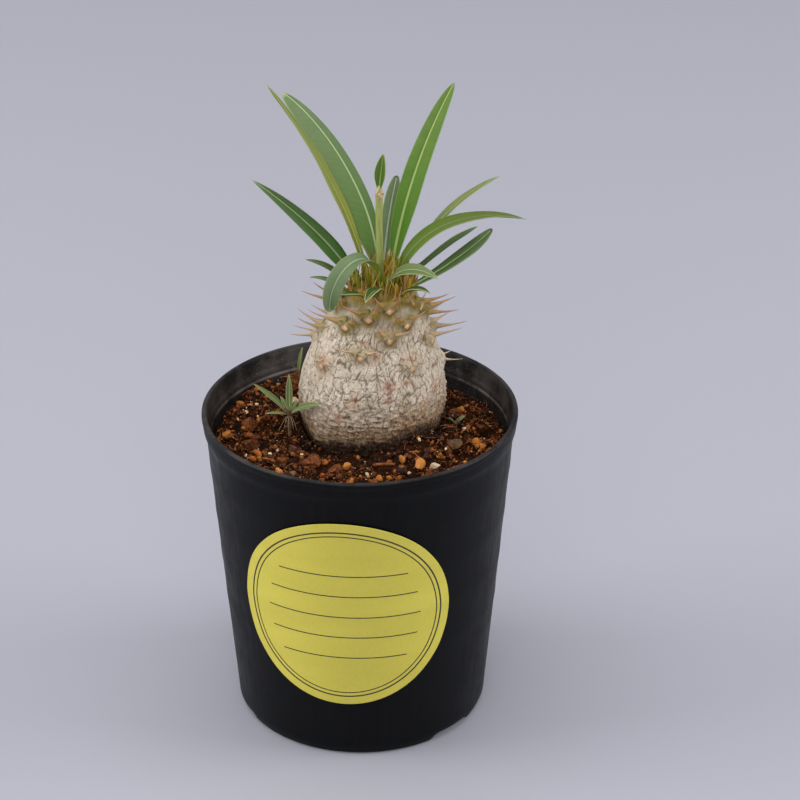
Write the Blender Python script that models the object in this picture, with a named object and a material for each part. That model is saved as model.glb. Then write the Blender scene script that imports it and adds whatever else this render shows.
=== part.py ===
"""A young caudex plant, Pachypodium gracilius, growing in a black plastic nursery pot.

The frame stands at the centre of the pot's foot: +Z is up, -Y is the side with the label, and
+X is to the right of it. Angles are in degrees, turning from +X towards +Y.
"""

import math
import random

import bmesh
import bpy
from mathutils import Vector

MM = 0.001
GAP = 0.3 * MM
HOLE_GAP = 0.5 * MM

# The pot is a 9 cm nursery pot, pressed in one piece.
POT_HEIGHT = 94.2 * MM
POT_WALL = 1.3 * MM
FOOT_RADIUS = 35.2 * MM
FOOT_WIDTH = 2.2 * MM
WALL_LOW = (36.3 * MM, 2.6 * MM)
WALL_HIGH = (43.8 * MM, 88.0 * MM)
BAND_RADIUS = 44.5 * MM
LIP_RADIUS = 45.0 * MM
BAND_LOW = 89.4 * MM
RING_HEIGHTS = (36.0 * MM, 50.0 * MM, 64.0 * MM, 78.0 * MM)
RING_PROUD = 0.12 * MM
RING_SLOPE = 2.0 * MM
FLOOR_UNDER = 2.8 * MM
FLOOR_TOP = 4.2 * MM
NOTCH_FACINGS = (-43.0, 77.0, 197.0)
NOTCH_SPAN = 16.0 * MM
NOTCH_RISE = 2.2 * MM
NOTCH_SIDES = 48
CUT_PAST = 1.0 * MM
DRAIN_RADIUS = 3.2 * MM
DRAIN_CIRCLE = 24.0 * MM
DRAIN_COUNT = 6
DRAIN_SIDES = 12
POT_SEGMENTS = 48

# The round sticker on the pot's wall.
LABEL_RADIUS = 31.0 * MM
LABEL_HEIGHT = 50.0 * MM
LABEL_FACING = -97.3
LABEL_THICKNESS = 0.4 * MM
LABEL_STANDOFF = 0.65 * MM
LABEL_RINGS = 5
LABEL_SEGMENTS = 36

# The soil fills the pot to about 9 mm below the lip, with heaps at the back left and against the
# caudex at its right, and a hollow at its left. Each: place, rise and reach.
SOIL_LEVEL = 84.6 * MM
SOIL_HEAPS = (
    ((-24.0 * MM, 20.0 * MM), 3.2 * MM, 16.0 * MM),
    ((14.0 * MM, -9.0 * MM), 5.2 * MM, 9.0 * MM),
    ((25.0 * MM, 4.0 * MM), 2.4 * MM, 8.0 * MM),
    ((-14.0 * MM, -3.5 * MM), -2.2 * MM, 6.0 * MM),
)
SOIL_CRUMB = 0.9 * MM
# The hole in the soil follows the sections of the caudex from this height down.
HOLE_TOP = 80.0
SOIL_SEGMENTS = 72
SOIL_STEPS = 11
# The larger granules that lie on it: x, y, radius.
GRANULES = (
    (-13.5, -16.5, 3.4), (-7.0, -20.6, 2.6), (-30.8, 8.2, 3.0), (26.3, -8.2, 3.2),
    (16.8, -16.9, 2.0), (34.0, -7.7, 2.6), (20.7, -19.3, 2.0), (-19.2, 22.3, 2.0),
    (-38.0, 0.4, 2.2), (29.3, 14.8, 2.2), (-34.8, 16.9, 2.0), (-22.7, -21.0, 2.0),
    (24.0, 25.0, 2.6), (-4.0, 35.0, 3.0), (12.0, 36.0, 2.4), (5.2, -25.4, 1.8),
)

# The caudex: its axis leans a little to the right. Height, radius, axis x.
CAUDEX_Y = 9.0 * MM
CAUDEX_PROFILE = (
    (62.0, 0.0, 3.4), (62.8, 5.0, 3.4), (66.0, 9.5, 3.4), (73.0, 14.2, 3.5), (80.0, 17.4, 3.6),
    (84.0, 19.0, 3.6), (87.0, 20.1, 3.7), (91.0, 20.9, 3.7), (95.0, 21.0, 3.7), (99.5, 20.5, 3.8),
    (104.0, 19.8, 3.9), (107.7, 18.8, 4.0), (111.3, 17.4, 4.2), (116.5, 15.2, 4.6),
    (120.0, 13.4, 5.2), (124.0, 11.2, 6.0), (127.0, 9.3, 6.5), (129.2, 6.6, 6.6),
    (130.3, 3.6, 6.6), (130.7, 0.0, 6.6),
)
CAUDEX_SEGMENTS = 40
CAUDEX_LUMP = 0.35 * MM

# Each leaf leaves a raised scar with a pair of spines. Facing and height of those in front with
# the tips of their two spines, and the rule for the others; the scars lower down are older,
# smaller and have worn spines.
SCARS = (
    (282, 125.0, (4.2, -6.3, 132.0), (11.4, -6.2, 132.0)),
    (334, 123.6, (14.0, -2.0, 130.0), (25.3, 5.0, 127.5)),
    (252, 122.6, (-4.8, -4.8, 128.8), (5.0, -5.9, 130.3)),
    (198, 123.4, (-16.2, 8.0, 127.2), (-5.0, -0.5, 129.5)),
    (308, 120.6, (11.4, -6.7, 127.3), (18.5, -4.0, 126.5)),
    (225, 119.8, (-14.4, 0.5, 125.0), (-2.0, -5.1, 126.6)),
    (352, 120.6, (28.1, 3.6, 123.2), (27.4, 11.0, 123.8)),
    (284, 117.8, (4.9, -9.5, 124.4), (14.3, -8.5, 122.6)),
    (188, 115.6, (-17.6, 10.5, 120.6), (-17.4, 4.5, 120.5)),
    (2, 114.8, (30.8, 7.0, 118.1), (25.8, 13.0, 118.1)),
    (337, 114.0, (18.1, -2.6, 120.0), (28.9, 3.5, 117.6)),
    (256, 113.6, (-6.6, -10.0, 118.1), (5.1, -11.0, 117.5)),
    (168, 111.0, (-19.2, 14.5, 113.3), (-19.9, 9.5, 113.0)),
    (306, 109.4, (10.7, -8.5, 113.1), (19.4, -6.0, 111.8)),
    (3, 104.0, (29.3, 7.0, 106.0), (26.5, 12.0, 106.3)),
    (218, 109.0, (-13.5, -3.0, 110.5), (-8.0, -7.5, 111.5)),
)
FRONT_FROM = 195
FRONT_TO = 345
GOLDEN_ANGLE = 137.5
BACK_SCAR_START = 40
BACK_SCARS = 30
BACK_SCAR_TOP = 124.5
BACK_SCAR_DROP = 0.62
SCAR_SPACING = 6.5
SCAR_RADIUS = 1.9 * MM
OLD_SCAR_HEIGHT = 104.0
YOUNG_SCAR_HEIGHT = 122.0
SPINE_LENGTH = 9.5 * MM
SPINE_RADIUS = 0.62 * MM
SPINE_TIP = 0.16 * MM
SPINE_SUNK = 0.9 * MM
SPINE_BOW = 0.4 * MM

# The crown, from which the leaves and the flower stalk rise.
STALK_PLACE = (5.8 * MM, 9.4 * MM)
STALK_FOOT = 131.2 * MM
STALK_TOP = 155.5 * MM
STALK_RADIUS = 1.0 * MM
STALK_SIDES = 8
BLADE_THICKNESS = 0.7 * MM
BLADE_TIP = 0.35 * MM
LEAF_STATIONS = 11
LEAF_FINE_STEPS = 4
HALF_PETIOLE = 0.75 * MM
PETIOLE_CLEAR = 0.75 * MM


def clear_scene():
    for old in list(bpy.data.objects):
        bpy.data.objects.remove(old)


def finish_material(name, colour, roughness):
    material = bpy.data.materials.new(name)
    material.use_nodes = True
    shader = material.node_tree.nodes["Principled BSDF"]
    shader.inputs["Base Color"].default_value = (*colour, 1.0)
    shader.inputs["Roughness"].default_value = roughness
    shader.inputs["Metallic"].default_value = 0.0
    return material


def solid(name, bm, material, smooth=True):
    """Close off a mesh as a named object with its faces pointing out."""
    bmesh.ops.recalc_face_normals(bm, faces=bm.faces)
    mesh = bpy.data.meshes.new(name)
    bm.to_mesh(mesh)
    bm.free()
    if smooth:
        mesh.shade_smooth()
    mesh.materials.append(material)
    piece = bpy.data.objects.new(name, mesh)
    bpy.context.scene.collection.objects.link(piece)
    return piece


def loft(rings):
    """Skin a run of rings; a ring of one point is a pole that closes the end."""
    bm = bmesh.new()
    rows = [[bm.verts.new(point) for point in ring] for ring in rings]
    for low, high in zip(rows, rows[1:]):
        count = max(len(low), len(high))
        for i in range(count):
            j = (i + 1) % count
            if len(low) == 1:
                bm.faces.new((low[0], high[j], high[i]))
            elif len(high) == 1:
                bm.faces.new((low[i], low[j], high[0]))
            else:
                bm.faces.new((low[i], low[j], high[j]))
                bm.faces.new((low[i], high[j], high[i]))
    return bm


def turned(profile, segments):
    """A body turned about the Z axis from (radius, height) points that start and end on it."""
    rings = []
    for radius, height in profile:
        if radius == 0.0:
            rings.append([Vector((0.0, 0.0, height))])
            continue
        turn = [2 * math.pi * i / segments for i in range(segments)]
        rings.append([Vector((radius * math.cos(a), radius * math.sin(a), height)) for a in turn])
    return loft(rings)


def boolean(body, operation, tools):
    """Add or cut the tools, all in one step, and clear them away."""
    group = bpy.data.collections.new(body.name + "_tools")
    bpy.context.scene.collection.children.link(group)
    for tool in tools:
        tool.hide_render = True
        tool.display_type = "WIRE"
        bpy.context.scene.collection.objects.unlink(tool)
        group.objects.link(tool)
    step = body.modifiers.new("join", "BOOLEAN")
    step.operation = operation
    step.operand_type = "COLLECTION"
    step.collection = group
    step.solver = "EXACT"
    bpy.context.view_layer.update()
    result = bpy.data.meshes.new_from_object(body.evaluated_get(bpy.context.evaluated_depsgraph_get()))
    body.modifiers.clear()
    body.data = result
    result.name = body.name
    for tool in list(group.objects):
        bpy.data.objects.remove(tool)
    bpy.data.collections.remove(group)
    return body


def between(start, end, share):
    return start + (end - start) * share


def wall_radius(height):
    """Outer radius of the plain conical wall."""
    share = (height - WALL_LOW[1]) / (WALL_HIGH[1] - WALL_LOW[1])
    return between(WALL_LOW[0], WALL_HIGH[0], share)


def pot_profile():
    outer = [(FOOT_RADIUS, 0.0), (FOOT_RADIUS + 0.8 * MM, 0.8 * MM), WALL_LOW]
    for height in RING_HEIGHTS:
        below, above = height - RING_SLOPE, height + RING_SLOPE
        outer.append((wall_radius(below), below))
        outer.append((wall_radius(height) + RING_PROUD, height))
        outer.append((wall_radius(above), above))
    lip = [
        WALL_HIGH, (BAND_RADIUS, BAND_LOW), (LIP_RADIUS, POT_HEIGHT - 1.4 * MM),
        (LIP_RADIUS - 0.1 * MM, POT_HEIGHT - 0.5 * MM), (LIP_RADIUS - 0.6 * MM, POT_HEIGHT),
        (LIP_RADIUS - 1.2 * MM, POT_HEIGHT - 0.1 * MM), (LIP_RADIUS - 1.5 * MM, POT_HEIGHT - 0.7 * MM),
    ]
    inner = [
        (BAND_RADIUS - POT_WALL, BAND_LOW), (WALL_HIGH[0] - POT_WALL, WALL_HIGH[1] - 0.4 * MM),
        (wall_radius(FLOOR_TOP) - POT_WALL, FLOOR_TOP), (0.0, FLOOR_TOP),
    ]
    foot_inside = FOOT_RADIUS - FOOT_WIDTH
    floor = [(0.0, FLOOR_UNDER), (foot_inside, FLOOR_UNDER), (foot_inside, 0.0)]
    return floor + outer + lip + inner


def drum(name, radius, start, end, segments, material):
    """A plain cylinder between two points, used as a cutter or a stem."""
    along = (end - start).normalized()
    side = along.orthogonal().normalized()
    across = along.cross(side)
    rings = [[start]]
    for centre in (start, end):
        turn = [2 * math.pi * i / segments for i in range(segments)]
        rings.append([centre + (side * math.cos(a) + across * math.sin(a)) * radius for a in turn])
    rings.append([end])
    return solid(name, loft(rings), material)


def foot_notch(facing, material):
    """A wide shallow arch cut across the foot ring."""
    radius = (NOTCH_SPAN ** 2 / 4 + NOTCH_RISE ** 2) / (2 * NOTCH_RISE)
    out = Vector((math.cos(math.radians(facing)), math.sin(math.radians(facing)), 0.0))
    centre = Vector((0.0, 0.0, NOTCH_RISE - radius))
    inside = centre + out * (FOOT_RADIUS - FOOT_WIDTH - 4 * CUT_PAST)
    outside = centre + out * (FOOT_RADIUS + 6 * CUT_PAST)
    return drum("notch", radius, inside, outside, NOTCH_SIDES, material)


def build_pot():
    black = finish_material("black_plastic", (0.018, 0.019, 0.021), 0.42)
    pot = solid("pot", turned(pot_profile(), POT_SEGMENTS), black)
    cutters = [foot_notch(facing, black) for facing in NOTCH_FACINGS]
    places = [(0.0, 0.0)]
    for i in range(DRAIN_COUNT):
        angle = 2 * math.pi * i / DRAIN_COUNT
        places.append((DRAIN_CIRCLE * math.cos(angle), DRAIN_CIRCLE * math.sin(angle)))
    for x, y in places:
        low = Vector((x, y, FLOOR_UNDER - CUT_PAST))
        high = Vector((x, y, FLOOR_TOP + CUT_PAST))
        cutters.append(drum("drain", DRAIN_RADIUS, low, high, DRAIN_SIDES, black))
    return boolean(pot, "DIFFERENCE", cutters)


def label_point(radius, turn, proud):
    """A point of the sticker, laid round the wall at its own distance from the label's centre."""
    height = LABEL_HEIGHT + radius * math.sin(turn)
    wall = wall_radius(height)
    angle = math.radians(LABEL_FACING) + radius * math.cos(turn) / wall
    reach = wall + proud
    return Vector((reach * math.cos(angle), reach * math.sin(angle), height))


def build_label():
    yellow = finish_material("yellow_sticker", (0.56, 0.47, 0.07), 0.5)
    rings = []
    for proud, steps in ((LABEL_STANDOFF, range(LABEL_RINGS + 1)),
                         (LABEL_STANDOFF + LABEL_THICKNESS, range(LABEL_RINGS, -1, -1))):
        for step in steps:
            radius = LABEL_RADIUS * step / LABEL_RINGS
            count = LABEL_SEGMENTS if step else 1
            turns = [2 * math.pi * i / count for i in range(count)]
            rings.append([label_point(radius, turn, proud) for turn in turns])
    return solid("label", loft(rings), yellow)


def caudex_section(height):
    """Radius and axis x of the caudex at a height, from its profile."""
    for low, high in zip(CAUDEX_PROFILE, CAUDEX_PROFILE[1:]):
        if height <= high[0]:
            share = (height - low[0]) / (high[0] - low[0])
            return between(low[1], high[1], share), between(low[2], high[2], share)
    return CAUDEX_PROFILE[-1][1], CAUDEX_PROFILE[-1][2]


def caudex_point(facing, height, proud=0.0):
    """A point on the gently lumpy caudex, at a facing in degrees and a height in millimetres."""
    radius, axis_x = caudex_section(height)
    angle = math.radians(facing)
    lump = math.sin(3 * angle + 0.13 * height) + 0.6 * math.sin(5 * angle - 0.21 * height + 1.0)
    swell = min(1.0, radius / 12.0)
    reach = radius * MM + CAUDEX_LUMP * lump * swell + proud
    return Vector((axis_x * MM + reach * math.cos(angle), CAUDEX_Y + reach * math.sin(angle), height * MM))


def caudex_out(facing, height):
    """Direction straight out of the caudex's skin."""
    lower, _ = caudex_section(height - 1.5)
    upper, _ = caudex_section(height + 1.5)
    angle = math.radians(facing)
    return Vector((math.cos(angle), math.sin(angle), (lower - upper) / 3.0)).normalized()


def taper(points, radii, sides):
    """A curved spine or stem that narrows to a point."""
    rings = [[points[0]]]
    for i, (point, radius) in enumerate(zip(points, radii)):
        along = (points[min(i + 1, len(points) - 1)] - points[max(i - 1, 0)]).normalized()
        side = along.cross(Vector((0.0, 0.0, 1.0))).normalized()
        across = side.cross(along)
        turn = [2 * math.pi * k / sides for k in range(sides)]
        rings.append([point + (side * math.cos(a) + across * math.sin(a)) * radius for a in turn])
    rings.append([points[-1] + (points[-1] - points[-2]).normalized() * radii[-1]])
    return loft(rings)


def scar_knob(base, out, radius):
    """The swollen foot of an old leaf: a low dome sunk into the skin."""
    side = out.cross(Vector((0.0, 0.0, 1.0))).normalized()
    across = side.cross(out)
    rings = [[base - out * radius]]
    for reach, rise in ((0.9, -0.5), (1.0, 0.15), (0.6, 0.75)):
        turn = [math.pi * k / 3 for k in range(6)]
        ring = []
        for a in turn:
            flat = side * math.cos(a) * 1.25 + across * math.sin(a) * 0.85
            ring.append(base + flat * radius * reach + out * radius * rise)
        rings.append(ring)
    rings.append([base + out * radius * 0.85])
    return loft(rings)


def youth(height):
    """0 for the old scars low down, 1 for the young ones near the crown."""
    return max(0.0, min(1.0, (height - OLD_SCAR_HEIGHT) / (YOUNG_SCAR_HEIGHT - OLD_SCAR_HEIGHT)))


def scar_frame(facing, height):
    """Place, outward and sideward directions at a scar."""
    out = caudex_out(facing, height)
    return caudex_point(facing, height), out, out.cross(Vector((0.0, 0.0, 1.0))).normalized()


def grown_tip(facing, height, hand, chance):
    """Where a spine ends that was not measured."""
    base, out, side = scar_frame(facing, height)
    length = SPINE_LENGTH * (0.6 + 0.4 * youth(height)) * chance.uniform(0.85, 1.1)
    away = out * 0.8 + side * hand * 0.75 + Vector((0.0, 0.0, 0.15 + 0.25 * youth(height)))
    return base + away.normalized() * length


def scar_places():
    """The scars in front where they grew, and the others on a spiral that keeps clear of them."""
    places = []
    for facing, height, left_tip, right_tip in SCARS:
        places.append((facing, height, (Vector(left_tip) * MM, Vector(right_tip) * MM)))
    chance = random.Random(7)
    for i in range(BACK_SCARS):
        facing = (GOLDEN_ANGLE * i + BACK_SCAR_START) % 360
        height = BACK_SCAR_TOP - BACK_SCAR_DROP * i
        here = caudex_point(facing, height)
        if FRONT_FROM < facing < FRONT_TO:
            continue
        if all((caudex_point(*other[:2]) - here).length > SCAR_SPACING * MM for other in places):
            tips = [grown_tip(facing, height, hand, chance) for hand in (1, -1)]
            places.append((facing, height, tips))
    return places


def scar_with_spines(facing, height, tips, material):
    """One old leaf foot and the two spines that flank it."""
    base, out, side = scar_frame(facing, height)
    radius = SCAR_RADIUS * (0.75 + 0.25 * youth(height))
    pieces = [solid("scar", scar_knob(base, out, radius), material)]
    for hand, tip in zip((1, -1), tips):
        start = base + side * hand * radius * 0.7 - out * SPINE_SUNK
        middle = start.lerp(tip, 0.5) + out * SPINE_BOW
        radii = (SPINE_RADIUS, SPINE_RADIUS * 0.6, SPINE_TIP)
        pieces.append(solid("spine", taper([start, middle, tip], radii, 4), material))
    return pieces


def build_caudex():
    bark = finish_material("caudex_bark", (0.36, 0.31, 0.25), 0.75)
    rings = []
    for height, radius, axis_x in CAUDEX_PROFILE:
        if radius == 0.0:
            rings.append([Vector((axis_x * MM, CAUDEX_Y, height * MM))])
            continue
        turn = [360 * i / CAUDEX_SEGMENTS for i in range(CAUDEX_SEGMENTS)]
        rings.append([caudex_point(facing, height) for facing in turn])
    caudex = solid("caudex", loft(rings), bark)
    repeats = []
    for facing, height, tips in scar_places():
        repeats.extend(scar_with_spines(facing, height, tips, bark))
    return boolean(caudex, "UNION", repeats)


def heaped_level(place):
    """The smooth level of the soil at a place, with its heaps."""
    level = SOIL_LEVEL
    for centre, rise, reach in SOIL_HEAPS:
        away = (place - Vector(centre)).length / reach
        level += rise * math.exp(-away * away)
    return level


def soil_height(place, chance):
    """Height of the soil with its granules and small crumbs."""
    height = heaped_level(place)
    for x, y, radius in GRANULES:
        away = (place - Vector((x * MM, y * MM))).length / (radius * MM)
        if away < 1.0:
            height += radius * MM * 0.75 * math.sqrt(1.0 - away * away)
    return height + chance.uniform(-SOIL_CRUMB, SOIL_CRUMB)


def soil_inner_radius(height):
    return wall_radius(height) - POT_WALL - 1.4 * GAP


def build_soil():
    """A plug between the pot's wall and the caudex, which stands in a plain hole in it."""
    earth = finish_material("red_brown_soil", (0.075, 0.028, 0.014), 0.95)
    chance = random.Random(11)
    turn = [2 * math.pi * i / SOIL_SEGMENTS for i in range(SOIL_SEGMENTS)]

    def wall_ring(height):
        reach = soil_inner_radius(height)
        return [Vector((reach * math.cos(a), reach * math.sin(a), height)) for a in turn]

    def hole_ring(height):
        return [caudex_point(math.degrees(a), height, HOLE_GAP) for a in turn]

    def mouth_level(a):
        near = caudex_point(math.degrees(a), SOIL_LEVEL / MM)
        return heaped_level(near.to_2d()) / MM

    bottom = FLOOR_TOP + GAP
    rings = [[Vector((0.0, 0.0, bottom))], wall_ring(bottom)]
    rim = wall_ring(SOIL_LEVEL)
    levels = [mouth_level(a) for a in turn]
    mouth = [caudex_point(math.degrees(a), level, HOLE_GAP) for a, level in zip(turn, levels)]
    depths = [height for height, radius, _ in CAUDEX_PROFILE if height <= HOLE_TOP and radius > 0.0]
    for step in range(SOIL_STEPS):
        ring = []
        for outer, inner in zip(rim, mouth):
            place = outer.lerp(inner, step / SOIL_STEPS).to_2d()
            ring.append(Vector((place.x, place.y, soil_height(place, chance))))
        rings.append(ring)
    rings.append(mouth)
    for share in (1 / 3, 2 / 3):
        throat = [level + (depths[-1] - level) * share for level in levels]
        rings.append([caudex_point(math.degrees(a), height, HOLE_GAP) for a, height in zip(turn, throat)])
    for height in reversed(depths[1:]):
        rings.append(hole_ring(height))
    deeper = Vector((0.0, 0.0, HOLE_GAP))
    rings.append([point - deeper for point in hole_ring(depths[0])])
    root_height, _, root_x = CAUDEX_PROFILE[0]
    rings.append([Vector((root_x * MM, CAUDEX_Y, root_height * MM)) - deeper])
    soil = solid("soil", loft(rings), earth, smooth=False)
    holes = []
    for x, y in (LEFT_SHOOT_PLACE, BACK_SHOOT_PLACE, SEEDLING_PLACE):
        low = Vector((x, y, SHOOT_ROOT - HOLE_GAP))
        high = Vector((x, y, POT_HEIGHT))
        holes.append(drum("hole", SHOOT_STEM + HOLE_GAP, low, high, SHOOT_SIDES + 2, earth))
    return boolean(soil, "DIFFERENCE", holes)


def leaf_width(share, widest):
    """Share of the full width along the leaf: a narrow petiole, widest past the middle, a point."""
    if share < widest:
        return 0.2 + 0.8 * math.sin(math.pi / 2 * share / widest) ** 1.1
    return max(0.0, math.cos(math.pi / 2 * (share - widest) / (1.0 - widest))) ** 0.75


def crown_seat(around, height):
    """Where a petiole leaves the crown, just clear of its skin, in millimetres."""
    return (caudex_point(around, height) + caudex_out(around, height) * PETIOLE_CLEAR) / MM


def leaf_blade(base, facing, rise, bend, length, width, swing=0, roll=0, twist=0, curl=1.0,
               widest=0.5, fold=10, stations=LEAF_STATIONS, petiole=HALF_PETIOLE):
    """A thin folded blade along an arching midrib, triangulated alike on both faces."""
    bm = bmesh.new()
    point = Vector(base) * MM
    tops, unders = [], []
    steps = stations * LEAF_FINE_STEPS
    for step in range(steps + 1):
        share = step / steps
        heading = math.radians(facing + swing * share)
        slope = math.radians(rise + bend * share ** curl)
        along = Vector((math.cos(heading) * math.cos(slope), math.sin(heading) * math.cos(slope),
                        math.sin(slope)))
        side = Vector((-math.sin(heading), math.cos(heading), 0.0))
        normal = along.cross(side)
        turn = math.radians(roll + twist * share)
        across = side * math.cos(turn) + normal * math.sin(turn)
        face = normal * math.cos(turn) - side * math.sin(turn)
        if step % LEAF_FINE_STEPS == 0:
            least = petiole if share < 0.5 else BLADE_TIP
            half = max(width / 2 * MM * leaf_width(share, widest), least)
            lift = half * math.tan(math.radians(fold))
            skin = face * BLADE_THICKNESS / 2
            edges = (across * half + face * lift, Vector(), -across * half + face * lift)
            tops.append([bm.verts.new(point + edge + skin) for edge in edges])
            unders.append([bm.verts.new(point + edge - skin) for edge in edges])
        point = point + along * length * MM / steps
    for near, far, flip in ((tops[:-1], tops[1:], False), (unders[:-1], unders[1:], True)):
        for a, b in zip(near, far):
            for c in (0, 1):
                for corners in ((a[c], a[c + 1], b[c + 1]), (a[c], b[c + 1], b[c])):
                    bm.faces.new(corners[::-1] if flip else corners)
    for k in range(stations):
        for c in (0, 2):
            bm.faces.new((tops[k][c], unders[k][c], unders[k + 1][c]))
            bm.faces.new((tops[k][c], unders[k + 1][c], tops[k + 1][c]))
    for k in (0, stations):
        for c in (0, 1):
            bm.faces.new((tops[k][c], tops[k][c + 1], unders[k][c + 1]))
            bm.faces.new((tops[k][c], unders[k][c + 1], unders[k][c]))
    return bm


# The leaves, from the upright ones at the heart to the small ones at the edge of the crown. The
# seat is a facing and a height on the crown; then the way the leaf faces, its rise where it
# leaves the crown, how far it bends over by its tip, and its length and width in millimetres.
LEAVES = {
    "leaf_01": dict(seat=(112, 130.4), facing=128.7, rise=74.5, bend=-54.1, length=60.7, width=7.7,
                    swing=3.1, roll=-20, twist=-25, curl=0.84, widest=0.35, fold=5),
    "leaf_02": dict(seat=(168, 130.2), facing=157.4, rise=76.2, bend=-28.3, length=61.9, width=9.2,
                    swing=1.7, roll=2.7, twist=24, curl=0.86, widest=0.82, fold=5),
    "leaf_03": dict(seat=(185, 129), facing=159.3, rise=67.3, bend=-42.7, length=41.6, width=5.1,
                    swing=-7.9, roll=-44, twist=13.5, curl=0.49, widest=0.3, fold=4),
    "leaf_04": dict(seat=(42, 130.4), facing=62, rise=75.5, bend=-45.3, length=59.9, width=6.6,
                    swing=-2.4, roll=4, twist=17, curl=0.77, widest=0.4, fold=2),
    "leaf_05": dict(seat=(86, 130.2), facing=83, rise=58, bend=-1, length=27.3, width=4.4,
                    swing=-18, roll=10, twist=4, widest=0.66),
    "leaf_06": dict(seat=(40, 129.6), facing=38, rise=44, bend=-41, length=43.4, width=4.6,
                    swing=2, roll=-20, twist=3, curl=1.4, widest=0.59),
    "leaf_07": dict(seat=(-12, 130.3), facing=-16, rise=75, bend=-82, length=47.4, width=6.6,
                    swing=-2, roll=41, twist=-47, curl=0.88, widest=0.34),
    "leaf_08": dict(seat=(-8, 129.6), facing=-2, rise=42.6, bend=-13.4, length=26.9, width=4.4, swing=1,
                    roll=4, twist=-9, curl=2.38, widest=0.59),
    "leaf_09": dict(seat=(-30, 128.6), facing=7, rise=28, bend=20, length=29.6, width=4.4, swing=-9.5,
                    roll=28, twist=5, curl=1.3, widest=0.72, fold=3),
    "leaf_10": dict(seat=(-125, 130.3), facing=-127, rise=108, bend=-204, length=32.3, width=6.2,
                    swing=-10, roll=4, twist=-59, curl=0.8, widest=0.72, fold=20),
    "leaf_11": dict(seat=(-72, 130.2), facing=-44, rise=58, bend=-74, length=21.2, width=3.8,
                    swing=2, roll=34, twist=-3, widest=0.38),
    "leaf_12": dict(seat=(172, 127.6), facing=165, rise=48, bend=-44, length=14.5, width=3.0),
    "leaf_13": dict(seat=(196, 127.0), facing=185, rise=51, bend=-51, length=12.5, width=2.4),
    "leaf_14": dict(seat=(-93, 129.0), facing=-110, rise=38, bend=-53, length=14, width=3.2, fold=25),
    "leaf_15": dict(seat=(-128, 128.0), facing=-150, rise=25, bend=-21, length=7.6, width=2.4, fold=15),
    "leaf_16": dict(seat=(-50, 128.2), facing=-35, rise=51, bend=-71, length=10.2, width=2.6, fold=15),
}

# The small plants that come up through the soil.
SHOOT_STEM = 0.8 * MM
SHOOT_SIDES = 8
SHOOT_ROOT = 80.0 * MM
LEFT_SHOOT_PLACE = (-20.1 * MM, 2.6 * MM)
LEFT_SHOOT_TOP = 91.5 * MM
BACK_SHOOT_PLACE = (-18.0 * MM, 30.5 * MM)
BACK_SHOOT_TOP = 89.6 * MM
SEEDLING_PLACE = (27.4 * MM, 5.0 * MM)
SEEDLING_TOP = 88.8 * MM


def build_leaves():
    green = finish_material("leaf_green", (0.09, 0.17, 0.045), 0.5)
    for name, shape in LEAVES.items():
        habit = dict(shape)
        base = crown_seat(*habit.pop("seat"))
        solid(name, leaf_blade(base, **habit), green)


def build_flower_stalk():
    """The upright stalk of the spent flower: a round stem, a knobbly node and one small bract."""
    tan = finish_material("stalk_green", (0.27, 0.30, 0.09), 0.55)
    x, y = STALK_PLACE
    outline = ((STALK_FOOT, 1.0), (STALK_TOP - 1.0 * MM, 1.0), (STALK_TOP + 1.4 * MM, 1.6),
               (STALK_TOP + 3.0 * MM, 0.9))
    rings = [[Vector((x, y, STALK_FOOT))]]
    for height, share in outline:
        turn = [2 * math.pi * k / STALK_SIDES for k in range(STALK_SIDES)]
        reach = STALK_RADIUS * share
        rings.append([Vector((x + reach * math.cos(a), y + reach * math.sin(a), height)) for a in turn])
    rings.append([Vector((x, y, STALK_TOP + 3.4 * MM))])
    stalk = solid("flower_stalk", loft(rings), tan)
    seat = (x / MM, y / MM, STALK_TOP / MM + 2.0)
    bract = leaf_blade(seat, 60, 80, -8, 11.0, 3.4, widest=0.45, fold=20, stations=6, petiole=0.5 * MM)
    return boolean(stalk, "UNION", [solid("bract", bract, tan)])


def leafy_shoot(name, place, top, leaves, material):
    """A thin stem with leaves at its head, standing in its hole in the soil."""
    x, y = place
    stem = drum(name, SHOOT_STEM, Vector((x, y, SHOOT_ROOT)), Vector((x, y, top)), SHOOT_SIDES, material)
    blades = []
    for facing, rise, bend, length, width in leaves:
        seat = (x / MM, y / MM, top / MM - 0.7)
        blade = leaf_blade(seat, facing, rise, bend, length, width, fold=12, stations=5, petiole=0.45 * MM)
        blades.append(solid(name + "_blade", blade, material))
    return boolean(stem, "UNION", blades)


def build_shoots():
    green = finish_material("shoot_green", (0.11, 0.17, 0.06), 0.6)
    left = ((149, 38, -18, 13.7, 2.4), (91, 69.5, -6, 11.4, 2.0), (188, 16, -20, 7.1, 1.6),
            (-52.5, 42.8, -22, 17.4, 2.4), (58, 40, -10, 5.0, 1.8), (125, 50, -20, 6.0, 1.6))
    leafy_shoot("side_shoot_left", LEFT_SHOOT_PLACE, LEFT_SHOOT_TOP, left, green)
    back = ((21, 83, -4, 9.1, 2.0), (-70, 30, -20, 4.5, 1.6))
    leafy_shoot("side_shoot_back", BACK_SHOOT_PLACE, BACK_SHOOT_TOP, back, green)
    seedling = ((25, 45, -30, 3.6, 1.6), (200, 55, -20, 3.2, 1.4))
    leafy_shoot("seedling_right", SEEDLING_PLACE, SEEDLING_TOP, seedling, green)


def main():
    clear_scene()
    build_pot()
    build_label()
    build_soil()
    build_caudex()
    build_leaves()
    build_flower_stalk()
    build_shoots()


main()
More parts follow.
